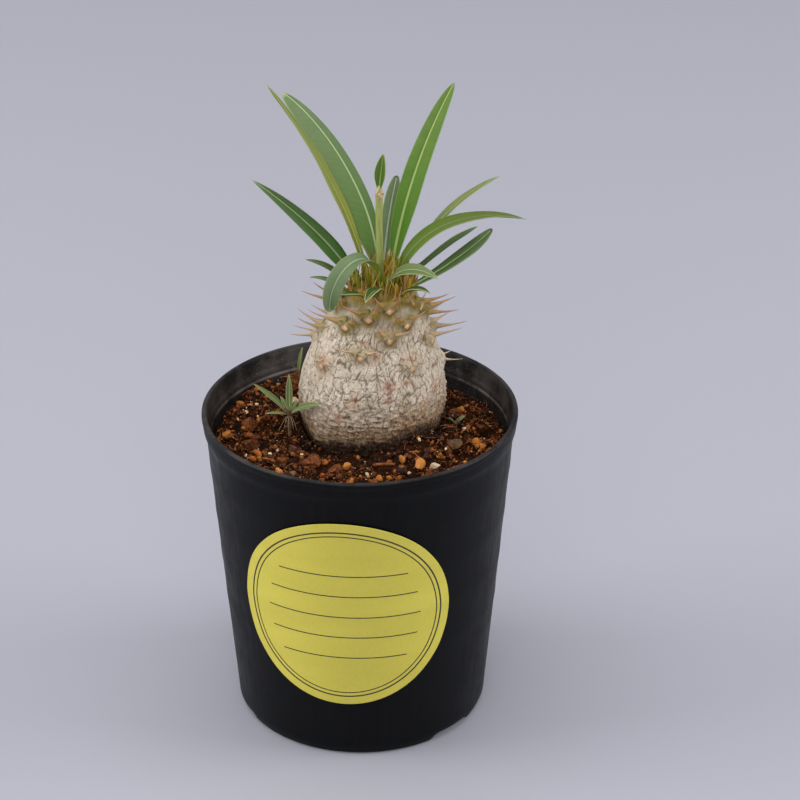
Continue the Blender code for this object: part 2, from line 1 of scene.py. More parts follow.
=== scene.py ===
# %% [markdown]
# # A young caudex plant in a black nursery pot
#
# The real thing is a seedling with a swollen, silvery stem, a tuft of narrow leaves and a pot full
# of coarse red-brown soil. A model of it at its estimated size exists already. This lesson lays the
# fine surfaces over that model, one piece at a time: pot, sticker, stem, spines, leaves and soil.
# Every piece is made from a few measured sizes and a rule, because a rule can be read and changed.

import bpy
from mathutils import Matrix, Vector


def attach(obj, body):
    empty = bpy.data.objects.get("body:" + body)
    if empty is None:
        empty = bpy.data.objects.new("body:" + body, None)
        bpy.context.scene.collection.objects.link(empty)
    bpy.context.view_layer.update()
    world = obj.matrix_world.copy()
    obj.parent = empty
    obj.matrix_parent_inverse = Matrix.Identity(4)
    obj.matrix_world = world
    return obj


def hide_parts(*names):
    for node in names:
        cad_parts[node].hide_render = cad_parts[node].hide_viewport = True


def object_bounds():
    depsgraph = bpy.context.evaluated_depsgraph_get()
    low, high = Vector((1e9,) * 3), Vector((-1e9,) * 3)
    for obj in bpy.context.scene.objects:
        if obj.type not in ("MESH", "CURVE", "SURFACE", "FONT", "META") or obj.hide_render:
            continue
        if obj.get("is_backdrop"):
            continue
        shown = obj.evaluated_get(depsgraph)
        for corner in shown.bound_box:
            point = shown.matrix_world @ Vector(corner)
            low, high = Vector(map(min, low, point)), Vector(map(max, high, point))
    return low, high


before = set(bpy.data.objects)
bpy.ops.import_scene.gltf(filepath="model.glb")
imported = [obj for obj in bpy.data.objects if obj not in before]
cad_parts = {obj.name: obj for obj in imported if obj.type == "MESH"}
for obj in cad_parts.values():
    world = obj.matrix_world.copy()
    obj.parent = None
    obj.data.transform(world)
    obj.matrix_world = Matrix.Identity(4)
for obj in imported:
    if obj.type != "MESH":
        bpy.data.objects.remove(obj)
model_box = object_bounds()
print("model loaded with", len(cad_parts), "nodes")

# %% The tools of the lesson, and the unit
import math

import bmesh
import bpy
import numpy as np
from mathutils import Vector, noise

# Sizes are in millimetres, and one millimetre is this many metres.
MM = 0.001
GOLDEN_ANGLE = 137.5
print("the model measures", [round(side / MM, 1) for side in model_box[1] - model_box[0]], "mm")

# %% [markdown]
# ## A mesh from rings of points
#
# Nearly everything here is round in some way: a pot wall, a spine, a stem, even a leaf, whose
# section is a flat loop. A loop could be modelled by hand and extruded. It is simpler to work out
# all the rings of points by formula, and to skin them with one function that also closes the ends.

# %% Skin rings of points into a closed sleeve
def sleeve(rings, first=None, last=None):
    """Points and faces of a tube over equal rings, closed by one point at each end."""
    rings = np.asarray(rings, float)
    count, around = rings.shape[:2]
    index = np.arange(count * around).reshape(count, around)
    beside = np.roll(index, -1, axis=1)
    faces = np.stack([index[:-1], beside[:-1], beside[1:], index[1:]], -1).reshape(-1, 4).tolist()
    faces += [(count * around, b, a) for a, b in zip(index[0].tolist(), beside[0].tolist())]
    faces += [(count * around + 1, a, b) for a, b in zip(index[-1].tolist(), beside[-1].tolist())]
    first = rings[0].mean(0) if first is None else first
    last = rings[-1].mean(0) if last is None else last
    return np.vstack([rings.reshape(-1, 3), [first, last]]), faces


def gathered(parts):
    """One shape from many: points, faces and, title by title, the values painted on the points."""
    points, faces, values, start = [], [], {}, 0
    for part_points, part_faces, *painted in parts:
        points.append(part_points)
        faces.extend([[corner + start for corner in face] for face in part_faces])
        for title, numbers in dict(*painted).items():
            values.setdefault(title, []).append(numbers)
        start += len(part_points)
    return np.vstack(points), faces, {title: np.concatenate(values[title]) for title in values}


def turns(count):
    return np.linspace(0.0, 2 * math.pi, count, endpoint=False)


print("a sleeve over two square rings has", len(sleeve(np.zeros((2, 4, 3)))[1]), "faces")

# %% Make a named piece with values painted on its points
pieces = {}


def make_piece(name, shape, finish, stands_for=None):
    """A smooth piece from points, faces and painted values; it may stand for a node of the model."""
    points, faces, *painted = shape
    mesh = bpy.data.meshes.new(name)
    mesh.from_pydata((points * MM).tolist(), [], faces)
    for title, numbers in dict(*painted).items():
        layer = mesh.attributes.new(title, "FLOAT", "POINT")
        layer.data.foreach_set("value", np.asarray(numbers, np.float32))
    work = bmesh.new()
    work.from_mesh(mesh)
    bmesh.ops.recalc_face_normals(work, faces=work.faces)
    work.to_mesh(mesh)
    work.free()
    mesh.shade_smooth()
    mesh.materials.append(finish.material)
    piece = bpy.data.objects.new(name, mesh)
    bpy.context.scene.collection.objects.link(piece)
    if stands_for:
        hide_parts(stands_for)
    pieces[name] = piece
    print(name, "has", len(mesh.polygons), "faces")
    return piece


# %% [markdown]
# ## Finishes made of nodes
#
# A finish is a small graph: patterns go in on the left and colour, gloss and relief come out on the
# right. Painted images would also do, but a pattern made of nodes has no edges and no pixels. Here
# a finish is painted in layers, each laid over the ones before, so that it reads like a recipe.

# %% A finish that is painted in layers
class Finish:
    """A material made of nodes, and the tone that has been laid on so far."""

    def __init__(self, name, roughness, gloss=0.5):
        self.material = bpy.data.materials.new(name)
        self.material.use_nodes = True
        self.tree = self.material.node_tree
        self.shader = self.tree.nodes["Principled BSDF"]
        self.shader.inputs["Roughness"].default_value = roughness
        self.shader.inputs["Specular IOR Level"].default_value = gloss

    def node(self, kind, output, wires, **settings):
        """Add a node; wires give each input a number or the output of another node."""
        made = self.tree.nodes.new("ShaderNode" + kind)
        for setting, value in settings.items():
            setattr(made, setting, value)
        for entry, value in wires.items():
            if isinstance(value, bpy.types.NodeSocket):
                self.tree.links.new(value, made.inputs[entry])
            else:
                made.inputs[entry].default_value = value
        return made.outputs[output]

    def painted(self, title):
        """A value that was painted on the points of the mesh."""
        return self.node("Attribute", "Fac", {}, attribute_name=title)

    def place(self, stretch):
        """The place on the object, stretched so that a pattern comes out long or flat."""
        spot = self.node("TexCoord", "Object", {})
        return self.node("Mapping", "Vector", {"Vector": spot, "Scale": stretch})

    def cloud(self, size, detail=3.0, rough=0.5, stretch=(1.0, 1.0, 1.0)):
        """Soft random patches of about the given size."""
        wires = {"Vector": self.place(stretch), "Scale": 1.0 / (size * MM), "Detail": detail,
                 "Roughness": rough}
        return self.node("TexNoise", "Fac", wires)

    def cracks(self, size, bend_size, bend, stretch):
        """Distance to the nearest border in a net of cells, whose lines are bent by a soft noise."""
        place = self.place(stretch)
        wires = {"Vector": place, "Scale": 1.0 / (bend_size * MM), "Detail": 2.0}
        push = self.node("TexNoise", "Color", wires)
        push = self.node("VectorMath", 0, {0: push, 1: (0.5, 0.5, 0.5)}, operation="SUBTRACT")
        push = self.node("VectorMath", 0, {0: push, "Scale": bend * MM}, operation="SCALE")
        wires = {"Vector": self.node("VectorMath", 0, {0: place, 1: push}), "Scale": 1.0 / (size * MM)}
        return self.node("TexVoronoi", "Distance", wires, feature="DISTANCE_TO_EDGE")

    def between(self, value, low, high, start=0.0, end=1.0):
        """The value, or the painted one of that name, rescaled from low..high to start..end."""
        value = self.painted(value) if isinstance(value, str) else value
        wires = {"Value": value, "From Min": low, "From Max": high, "To Min": start, "To Max": end}
        return self.node("MapRange", "Result", wires)

    def reckon(self, kind, a, b=0.0):
        return self.node("Math", "Value", {0: a, 1: b}, operation=kind)

    def blend(self, a, b, share, *limits):
        """Colour a where the share is 0, colour b where it is 1; limits rescale the share first."""
        share = self.between(share, *limits) if limits else share
        wires = {0: share}
        for entry, colour in ((6, a), (7, b)):
            wires[entry] = (*colour, 1.0) if isinstance(colour, tuple) else colour
        return self.node("Mix", 2, wires, data_type="RGBA")

    def base(self, a, b, share, *limits):
        self.tone = self.blend(a, b, share, *limits)

    def lay(self, colour, share, *limits, where=None):
        """Lay a colour over the tone so far; where is a second share that holds it back."""
        share = self.between(share, *limits) if limits else self.painted(share)
        if where is not None:
            where = self.painted(where) if isinstance(where, str) else where
            share = self.reckon("MULTIPLY", where, share)
        self.tone = self.blend(self.tone, colour, share)

    def coat(self, rough=None, *reliefs):
        """Wire up the tone, the roughness (a pattern and its limits) and reliefs with their depths."""
        self.tree.links.new(self.tone, self.shader.inputs["Base Color"])
        if rough is not None:
            self.tree.links.new(self.between(*rough), self.shader.inputs["Roughness"])
        wires = {"Strength": 1.0}
        for height, depth in reliefs:
            wires.update({"Height": height, "Distance": depth * MM})
            wires["Normal"] = self.node("Bump", "Normal", wires)
        if reliefs:
            self.tree.links.new(wires["Normal"], self.shader.inputs["Normal"])
        print("finish", self.material.name, "has", len(self.tree.nodes), "nodes")
        return self


# %% [markdown]
# ## Camera
#
# The pot's lip and foot are circles, and in a photograph they are ellipses. Their widths and
# heights give the camera's place: about 0.9 m away, looking down at 28 degrees through a long lens.
# The camera could also be set by eye, but then no piece would fall where it should.

# %% Set up the camera
CAMERA_PLACE = Vector((0.0, -754.4, 492.4)) * MM
CAMERA_AIM = Vector((11.4, 0.0, 96.5)) * MM
CAMERA_LENS = 135.0
SENSOR_WIDTH = 36.0
CLIP_START = 50 * MM


def faced(place, target):
    """The turn that points a camera or a lamp from its place at a target."""
    return (target - Vector(place)).to_track_quat("-Z", "Y").to_euler()


camera_data = bpy.data.cameras.new("camera")
camera_data.lens = CAMERA_LENS
camera_data.sensor_width = SENSOR_WIDTH
camera_data.clip_start = CLIP_START
camera = bpy.data.objects.new("camera", camera_data)
camera.location = CAMERA_PLACE
camera.rotation_euler = faced(CAMERA_PLACE, CAMERA_AIM)
bpy.context.scene.collection.objects.link(camera)
bpy.context.scene.camera = camera
print("camera looks down at", round(90 - math.degrees(camera.rotation_euler.x), 1), "degrees")

# %% [markdown]
# ## Floor and light
#
# The plant stands on a pale lavender-grey studio table under large soft lamps. A small lamp would
# draw hard shadows, so each lamp here is a wide panel. A panel overhead does most of the work, one
# at each side draws the soft grey sheen down the two edges of the black pot, and one in front
# fills the shadows.

# %% Lay the floor
# Half of the floor's width, in metres, as the lamps below are.
FLOOR_HALF = 3.0
FLOOR_PATCH = 250

floor_finish = Finish("studio_table", 0.8, 0.2)
floor_finish.base((0.298, 0.300, 0.342), (0.27, 0.27, 0.31), floor_finish.cloud(FLOOR_PATCH, 2.0),
                  0.3, 0.7, 0.0, 0.06)
floor_finish.coat()
floor_mesh = bpy.data.meshes.new("studio_floor")
corners = [(x * FLOOR_HALF, y * FLOOR_HALF, 0) for x, y in ((-1, -1), (1, -1), (1, 1), (-1, 1))]
floor_mesh.from_pydata(corners, [], [(0, 1, 2, 3)])
floor_mesh.materials.append(floor_finish.material)
floor = bpy.data.objects.new("studio_floor", floor_mesh)
bpy.context.scene.collection.objects.link(floor)
floor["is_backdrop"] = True
print("floor is", 2 * FLOOR_HALF, "m wide")

# %% Hang the lamps
PLANT_HEART = Vector((0.0, 0.0, 90.0)) * MM
# Each lamp: place in metres, width and height of the panel in metres, watts.
LAMPS = {
    "overhead": ((-0.15, -0.05, 1.5), 1.8, 1.8, 22.0),
    "left_panel": ((-1.4, -0.1, 0.6), 0.8, 1.2, 17.5),
    "right_panel": ((1.4, -0.1, 0.6), 0.8, 1.2, 17.5),
    "front_fill": ((-0.1, -1.6, 0.75), 1.1, 0.9, 11.5),
}
ROOM_COLOUR = (0.95, 0.96, 1.0, 1.0)
ROOM_STRENGTH = 0.41

for lamp_name, (place, width, height, watts) in LAMPS.items():
    lamp_data = bpy.data.lights.new(lamp_name, "AREA")
    lamp_data.shape = "RECTANGLE"
    lamp_data.size, lamp_data.size_y = width, height
    lamp_data.energy = watts
    lamp = bpy.data.objects.new(lamp_name, lamp_data)
    lamp.location = place
    lamp.rotation_euler = faced(place, PLANT_HEART)
    bpy.context.scene.collection.objects.link(lamp)
world = bpy.data.worlds.new("soft_room")
world.use_nodes = True
world.node_tree.nodes["Background"].inputs["Color"].default_value = ROOM_COLOUR
world.node_tree.nodes["Background"].inputs["Strength"].default_value = ROOM_STRENGTH
bpy.context.scene.world = world
bpy.context.scene.view_settings.view_transform = "Standard"
print(len(LAMPS), "lamps hung")

# %% [markdown]
# ## The pot
#
# It is pressed from black plastic: a plain cone with a rounded lip, a narrow band under the lip,
# low rings in the wall and a foot ring with arches that let water out. Such a shape is turned: its
# outline is drawn once as corners, each corner is rounded by a small curve, and the outline is
# swept round the axis. A stack of cylinders would show seams where the real wall has none.

# %% The pot's sizes
POT_HEIGHT = 94.2
POT_WALL = 1.3
FOOT_RADIUS = 35.2
FOOT_WIDTH = 2.2
WALL_LOW = (36.3, 2.6)
WALL_HIGH = (43.8, 88.0)
BAND_RADIUS = 44.5
LIP_RADIUS = 45.0
BAND_LOW = 89.4
RING_HEIGHTS = (36.0, 50.0, 64.0, 78.0)
RING_PROUD = 0.12
RING_SPREAD = 2.6
FLOOR_UNDER = 2.8
FLOOR_TOP = 4.2
NOTCH_FACINGS = (-43.0, 77.0, 197.0)
NOTCH_SPAN = 16.0
NOTCH_RISE = 2.2
DRAIN_RADIUS = 3.2
DRAIN_CIRCLE = 24.0
DRAIN_COUNT = 6
POT_SEGMENTS = 220


def wall_radius(height):
    """Outer radius of the conical wall, without its rings."""
    share = (height - WALL_LOW[1]) / (WALL_HIGH[1] - WALL_LOW[1])
    return WALL_LOW[0] + (WALL_HIGH[0] - WALL_LOW[0]) * share


def ring_swell(height):
    """How far the low rings stand out at a height."""
    return sum(RING_PROUD * np.exp(-((height - ring) / RING_SPREAD) ** 2) for ring in RING_HEIGHTS)


print("the wall widens by", round(wall_radius(WALL_HIGH[1]) - WALL_LOW[0], 1), "mm from foot to band")

# %% Draw the outline with rounded corners
CORNER_STEPS = 4


def rounded(corners):
    """An outline whose corners (radius, height, reach) are rounded off over their reach."""
    outline = [corners[0][:2]]
    for before, corner, after in zip(corners, corners[1:], corners[2:]):
        if corner[2] == 0.0:
            outline.append(corner[:2])
            continue
        here = np.array(corner[:2])
        start, end = (here + (np.array(other[:2]) - here) * min(0.45, corner[2] / math.dist(other[:2], here))
                      for other in (before, after))
        for t in np.linspace(0.0, 1.0, CORNER_STEPS):
            outline.append(tuple(start * (1 - t) ** 2 + 2 * here * t * (1 - t) + end * t * t))
    return outline + [corners[-1][:2]]


def wall_run(low, high, inset, count):
    """Points up or down the ringed wall; the inner face follows it at the wall's thickness."""
    return [(wall_radius(h) + ring_swell(h) - inset, h, 0.0) for h in np.linspace(low, high, count)]


foot_inside = FOOT_RADIUS - FOOT_WIDTH
pot_outline = rounded([
    (2.0, FLOOR_UNDER, 0.0), (foot_inside, FLOOR_UNDER, 0.4), (foot_inside, 0.0, 0.4),
    (FOOT_RADIUS, 0.0, 0.8),
    *wall_run(WALL_LOW[1], WALL_HIGH[1] - 0.6, 0.0, 64),
    (BAND_RADIUS, BAND_LOW, 0.6), (LIP_RADIUS - 0.2, POT_HEIGHT - 2.3, 0.3),
    (LIP_RADIUS - 0.35, POT_HEIGHT - 1.9, 0.2), (LIP_RADIUS, POT_HEIGHT - 1.4, 0.3),
    (LIP_RADIUS, POT_HEIGHT, 0.6), (LIP_RADIUS - 1.5, POT_HEIGHT, 0.6),
    (LIP_RADIUS - 1.6, POT_HEIGHT - 2.0, 0.5), (BAND_RADIUS - POT_WALL, BAND_LOW, 0.3),
    (WALL_HIGH[0] - POT_WALL, WALL_HIGH[1] - 0.4, 0.3),
    *wall_run(WALL_HIGH[1] - 1.5, FLOOR_TOP, POT_WALL, 26),
    (2.0, FLOOR_TOP, 0.0),
])
print("the pot's outline has", len(pot_outline), "points")

# %% Turn the outline, and lift the foot into arches
radius, height = np.array(pot_outline).T
flat_ring = np.stack([np.cos(turns(POT_SEGMENTS)), np.sin(turns(POT_SEGMENTS)), np.zeros(POT_SEGMENTS)], -1)
pot_rings = radius[:, None, None] * flat_ring + np.array((0.0, 0.0, 1.0)) * height[:, None, None]
facing = np.degrees(np.arctan2(pot_rings[..., 1], pot_rings[..., 0]))
near_foot = np.hypot(pot_rings[..., 0], pot_rings[..., 1]) > foot_inside - 0.1
for notch in NOTCH_FACINGS:
    aside = np.radians((facing - notch + 180) % 360 - 180) * FOOT_RADIUS
    arch = NOTCH_RISE * (1 - np.minimum(np.abs(2 * aside / NOTCH_SPAN), 1.0) ** 6)
    low_enough = near_foot & (pot_rings[..., 2] < NOTCH_RISE + 0.3)
    pot_rings[..., 2] = np.where(low_enough, np.maximum(pot_rings[..., 2], arch), pot_rings[..., 2])
print("the foot has", len(NOTCH_FACINGS), "arches of", NOTCH_SPAN, "mm")

# %% [markdown]
# Black plastic is never just black. The press leaves fine upright streaks, handling leaves faint
# scuffs, and watering leaves dust inside and brown marks near the soil. The colour stays almost
# even, and most of the pattern goes into the roughness, where it shows only in the sheen. A pale
# painted sheen also runs along the lip's top edge and the band inside it.

# %% The pot's finish
plastic = Finish("black_plastic", 0.42, 0.12)
streaks = plastic.cloud(1.6, 4.0, 0.6, (1.0, 1.0, 0.06))
scuffs = plastic.cloud(9, 5.0, 0.65)
plastic.base((0.0010, 0.0011, 0.0016), (0.0026, 0.0029, 0.0041), streaks, 0.35, 0.8)
plastic.lay((0.026, 0.026, 0.029), scuffs, 0.64, 0.85, 0.0, 0.22)
plastic.lay((0.030, 0.027, 0.026), scuffs, 0.35, 0.7, 0.15, 1.0, where="inside")
# Pale dust, and on the lip's top edge and the inner band also a painted sheen.
plastic.lay((0.24, 0.21, 0.19), scuffs, 0.4, 0.6, 0.2, 1.0, where="dust")
plastic.lay((0.20, 0.16, 0.13), plastic.cloud(0.5, 2.0), 0.66, 0.72, 0.0, 0.7, where="inside")
plastic.coat((plastic.reckon("ADD", streaks, scuffs), 0.7, 1.3, 0.34, 0.55), (streaks, 0.008),
             (plastic.cloud(0.35, 2.0), 0.02))

# %% Make the pot, with its drain holes drilled
pot_points, pot_faces = sleeve(pot_rings, (0.0, 0.0, FLOOR_UNDER), (0.0, 0.0, FLOOR_TOP))
lip_row = int(np.argmax([h for _, h in pot_outline]))
rows = np.repeat(np.arange(len(pot_outline)), POT_SEGMENTS)
inside = np.append(np.where(rows > lip_row + 3, 1.0, 0.0), (0.0, 1.0))
# Dust settles on the lip's top edge, on the band inside it and on the ledge below that; on the
# lip's edge and on the band the pale colour is also a painted sheen.
pot_height = pot_points[:, 2]
ledge = np.exp(-((pot_height - WALL_HIGH[1] + 0.8) / 0.35) ** 2) * inside
lip_dust_and_sheen = 0.14 * np.exp(-((pot_height - POT_HEIGHT) / 0.4) ** 2)
band_dust_and_sheen = 0.2 * inside * (pot_height > WALL_HIGH[1])
pot_values = {"inside": inside, "dust": np.maximum(ledge, np.maximum(lip_dust_and_sheen, band_dust_and_sheen))}
pot = make_piece("pot_shell", (pot_points, pot_faces, pot_values), plastic, "pot")


def drill(piece, x, y):
    """Cut a round drain hole down through the floor of the pot."""
    bpy.ops.mesh.primitive_cylinder_add(vertices=40, radius=DRAIN_RADIUS * MM, depth=10 * MM,
                                        location=(x * MM, y * MM, FLOOR_UNDER * MM))
    drill_bit = bpy.context.object
    cut = piece.modifiers.new("drill", "BOOLEAN")
    cut.object = drill_bit
    cut.operation = "DIFFERENCE"
    bpy.context.view_layer.update()
    result = bpy.data.meshes.new_from_object(piece.evaluated_get(bpy.context.evaluated_depsgraph_get()))
    piece.modifiers.clear()
    piece.data = result
    bpy.data.objects.remove(drill_bit)


drill(pot, 0.0, 0.0)
for turn in turns(DRAIN_COUNT):
    drill(pot, DRAIN_CIRCLE * math.cos(turn), DRAIN_CIRCLE * math.sin(turn))
print("drilled", DRAIN_COUNT + 1, "drain holes")

# %% [markdown]
# ## The sticker
#
# A round yellow sticker lies on the front of the wall. A flat disc would cut through the cone, so
# each point is placed by its own distance from the sticker's centre, measured along the wall. It
# rides over the low rings, and that gives the soft bands of light across it. The print is a plain
# blank plant tag: a thin border and ruled lines to write on, made as thin slips of ink.

# %% Lay a round sticker on the cone
LABEL_RADIUS = 31.0
LABEL_HEIGHT = 50.0
LABEL_FACING = math.radians(-97.3)
LABEL_PROUD = 0.5
LABEL_TOP = 0.8
LABEL_POINTS = 180


def on_wall(across, up, proud):
    """Points at a distance across and up from the sticker's centre, laid on the ringed wall."""
    height = LABEL_HEIGHT + up
    wall = wall_radius(height) + proud + 0.8 * ring_swell(height)
    angle = LABEL_FACING + across / wall_radius(height)
    return np.stack([wall * np.cos(angle), wall * np.sin(angle), height], -1)


# The last rings lie close together, so that the light turns only at the very edge.
label_reach = np.append(np.linspace(0.02, 0.99, 22), (0.997, 1.0)) * LABEL_RADIUS


def disc_rings(proud):
    turn = turns(LABEL_POINTS)
    return [on_wall(reach * np.cos(turn), reach * np.sin(turn), proud) for reach in label_reach]


label_centre = on_wall(np.zeros(1), np.zeros(1), 0.0)[0]
outwards = np.array((math.cos(LABEL_FACING), math.sin(LABEL_FACING), 0.0))
label_shape = sleeve(disc_rings(LABEL_PROUD) + disc_rings(LABEL_TOP)[::-1],
                     label_centre + outwards * LABEL_PROUD, label_centre + outwards * LABEL_TOP)
print("sticker is", 2 * LABEL_RADIUS, "mm across")

# %% The sticker's paper and ink
paper = Finish("sticker_paper", 0.42, 0.35)
weave = paper.cloud(0.5, stretch=(1.0, 1.0, 0.35))
paper.base((0.505, 0.438, 0.058), (0.45, 0.387, 0.045), paper.cloud(14, 2.0, stretch=(0.4, 0.4, 1.6)),
           0.3, 0.7)
paper.lay((0.60, 0.535, 0.13), weave, 0.3, 0.75, 0.0, 0.25)
paper.coat((weave, 0.3, 0.7, 0.38, 0.52), (weave, 0.012))
make_piece("label_sheet", label_shape, paper, "label")

ink = Finish("dark_ink", 0.5, 0.3)
ink_tone = ink.cloud(0.3)
ink.base((0.022, 0.020, 0.012), (0.06, 0.052, 0.02), ink_tone, 0.4, 0.8)
ink.coat((ink_tone, 0.3, 0.7, 0.42, 0.6))

# %% Print the border and the ruled lines
INK_THICKNESS = 0.04
INK_SUNK = 0.01
# Radius and width of the two border rings.
BORDERS = ((28.2, 0.45), (26.9, 0.32))
BORDER_POINTS = 240
RULE_WIDTH = 0.32
RULE_HEIGHTS = (13.5, 6.5, -0.5, -7.5, -14.5)
RULE_MARGIN = 5.0
RULE_POINTS = 60


def ink_slip(across, up, half_across, half_up):
    """A closed slip of ink along a line on the sticker; the half widths say which way it is thick."""
    rings = [on_wall(across + side * half_across, up + side * half_up, LABEL_TOP - INK_SUNK + lift)
             for side, lift in ((1, 0.0), (-1, 0.0), (-1, INK_THICKNESS), (1, INK_THICKNESS))]
    return np.stack(rings, 1)


def border(radius, width):
    cosine, sine = np.cos(turns(BORDER_POINTS)), np.sin(turns(BORDER_POINTS))
    ring = ink_slip(radius * cosine, radius * sine, width / 2 * cosine, width / 2 * sine)
    index = np.arange(BORDER_POINTS * 4).reshape(BORDER_POINTS, 4)
    ahead, beside = np.roll(index, -1, axis=0), np.roll(index, -1, axis=1)
    faces = np.stack([index, beside, np.roll(ahead, -1, axis=1), ahead], -1).reshape(-1, 4).tolist()
    return ring.reshape(-1, 3), faces


def rule(up):
    reach = math.sqrt(BORDERS[1][0] ** 2 - up ** 2) - RULE_MARGIN
    across = np.linspace(-reach, reach, RULE_POINTS)
    return sleeve(ink_slip(across, np.full(RULE_POINTS, up), 0.0, RULE_WIDTH / 2))


ink_parts = [border(*sizes) for sizes in BORDERS] + [rule(up) for up in RULE_HEIGHTS]
make_piece("label_print", gathered(ink_parts), ink)

# %% [markdown]
# ## The swollen stem
#
# The stem is a squat bottle of silvery bark. Its outline is a smooth curve through measured radii.
# Bark and scars could be painted on, but from the side the scars stand out as knobs, and the light
# catches every crack. So the skin is a dense grid, and each of its points is pushed in or out by
# the sum of a few simple reliefs: slow lumps, a net of cracks, folds round the foot and the knobs.

# %% The outline of the stem
CAUDEX_Y = 9.0
# Height, radius and the place of the axis along X.
CAUDEX_PROFILE = np.array((
    (62.0, 0.4, 3.4), (62.8, 5.0, 3.4), (66.0, 9.5, 3.4), (73.0, 14.2, 3.5), (80.0, 17.4, 3.6),
    (84.0, 19.0, 3.6), (87.0, 20.1, 3.7), (91.0, 20.9, 3.7), (95.0, 21.0, 3.7), (99.5, 20.5, 3.8),
    (104.0, 19.8, 3.9), (107.7, 18.8, 4.0), (111.3, 17.4, 4.2), (116.5, 15.2, 4.6),
    (120.0, 13.4, 5.2), (124.0, 11.2, 6.0), (127.0, 9.3, 6.5), (129.2, 6.6, 6.6),
    (130.3, 3.6, 6.6), (130.7, 0.4, 6.6),
))
ROOT_END = np.array((3.4, CAUDEX_Y, 62.0))
STEM_END = np.array((6.6, CAUDEX_Y, 130.75))


def smooth_through(knots, per_span):
    """A smooth curve through the knots, with the same number of points in each span."""
    padded = np.vstack([2 * knots[0] - knots[1], knots, 2 * knots[-1] - knots[-2]])
    t = np.linspace(0.0, 1.0, per_span, endpoint=False)[:, None]
    spans = [0.5 * (2 * b + (c - a) * t + (2 * a - 5 * b + 4 * c - d) * t ** 2
                    + (3 * b - a - 3 * c + d) * t ** 3)
             for a, b, c, d in zip(padded, padded[1:], padded[2:], padded[3:])]
    return np.vstack(spans + [knots[-1:]])


outline = smooth_through(CAUDEX_PROFILE, 30)
run = np.append(0.0, np.cumsum(np.hypot(np.diff(outline[:, 0]), np.diff(outline[:, 1]))))
print("the outline of the stem is", round(float(run[-1]), 1), "mm long")

# %% Places on the stem
def stem_radius(height):
    return np.interp(height, outline[:, 0], outline[:, 1])


def on_stem(facing, height, proud=0.0):
    """Points on the gently lumpy stem, by facing in degrees and height."""
    radius = stem_radius(height)
    angle = np.radians(facing)
    lump = np.sin(3 * angle + 0.13 * height) + 0.6 * np.sin(5 * angle - 0.21 * height + 1.0)
    reach = radius + 0.35 * lump * np.minimum(1.0, radius / 12.0) + proud
    axis_x = np.interp(height, outline[:, 0], outline[:, 2])
    return np.stack([axis_x + reach * np.cos(angle), CAUDEX_Y + reach * np.sin(angle),
                     height + 0.0 * angle], -1)


def stem_outwards(facing, height):
    slope = (stem_radius(height - 1.5) - stem_radius(height + 1.5)) / 3.0
    angle = np.radians(facing)
    return unit(np.stack([np.cos(angle), np.sin(angle), slope + 0.0 * angle], -1))


def unit(way):
    """The same direction with a length of 1."""
    return way / np.linalg.norm(way, axis=-1, keepdims=True)


def knob_frame(facing, height):
    """Place, outward, sideward and upward directions at a scar."""
    out = stem_outwards(facing, height)
    side = unit(np.cross(out, (0.0, 0.0, 1.0)))
    return on_stem(facing, height), out, side, np.cross(side, out)


def youth(height):
    """0 for the old scars low down, 1 for the young ones near the crown."""
    return float(np.clip((height - 104) / 18, 0.0, 1.0))


print("the stem is", round(2 * float(stem_radius(95.0)), 1), "mm thick at its widest")

# %% Leaf scars in front, measured, and behind, by a rule
# Facing in degrees and height, then the tips of the two spines beside each, the left one first.
FRONT_SCARS = [
    (282, 125.0, (4.2, -6.3, 132.0), (11.4, -6.2, 132.0)),
    (334, 123.6, (14.0, -2.0, 130.0), (25.3, 5.0, 127.5)),
    (255, 122.8, (-4.8, -4.8, 128.8), (5.0, -5.9, 130.3)),
    (198, 123.4, (-16.2, 8.0, 127.2), (-5.0, -0.5, 129.5)),
    (304, 120.9, (11.4, -6.7, 127.3), (18.5, -4.0, 126.5)),
    (231, 120.2, (-14.4, 0.5, 125.0), (-2.0, -5.1, 126.6)),
    (352, 120.6, (28.1, 3.6, 123.2), (27.4, 11.0, 123.8)),
    (284, 117.8, (4.9, -9.5, 124.4), (14.3, -8.5, 122.6)),
    (188, 115.6, (-17.6, 10.5, 120.6), (-17.4, 4.5, 120.5)),
    (2, 114.8, (30.8, 7.0, 118.1), (25.8, 13.0, 118.1)),
    (337, 114.0, (18.1, -2.6, 120.0), (28.9, 3.5, 117.6)),
    (256, 113.6, (-6.6, -10.0, 118.1), (5.1, -11.0, 117.5)),
    (168, 111.0, (-19.2, 14.5, 113.3), (-19.9, 9.5, 113.0)),
    (306, 109.4, (10.7, -8.5, 113.1), (19.4, -6.0, 111.8)),
    (3, 104.0, (29.3, 7.0, 106.0), (26.5, 12.0, 106.3)),
    (218, 109.0, (-13.5, -3.0, 110.5), (-8.0, -7.5, 111.5)),
]
FRONT_FROM, FRONT_TO = 195, 345
BACK_SCARS = 30
BACK_SCAR_START = 40
BACK_SCAR_TOP = 124.5
BACK_SCAR_DROP = 0.62
SCAR_SPACING = 6.5
SPINE_LENGTH = 9.5

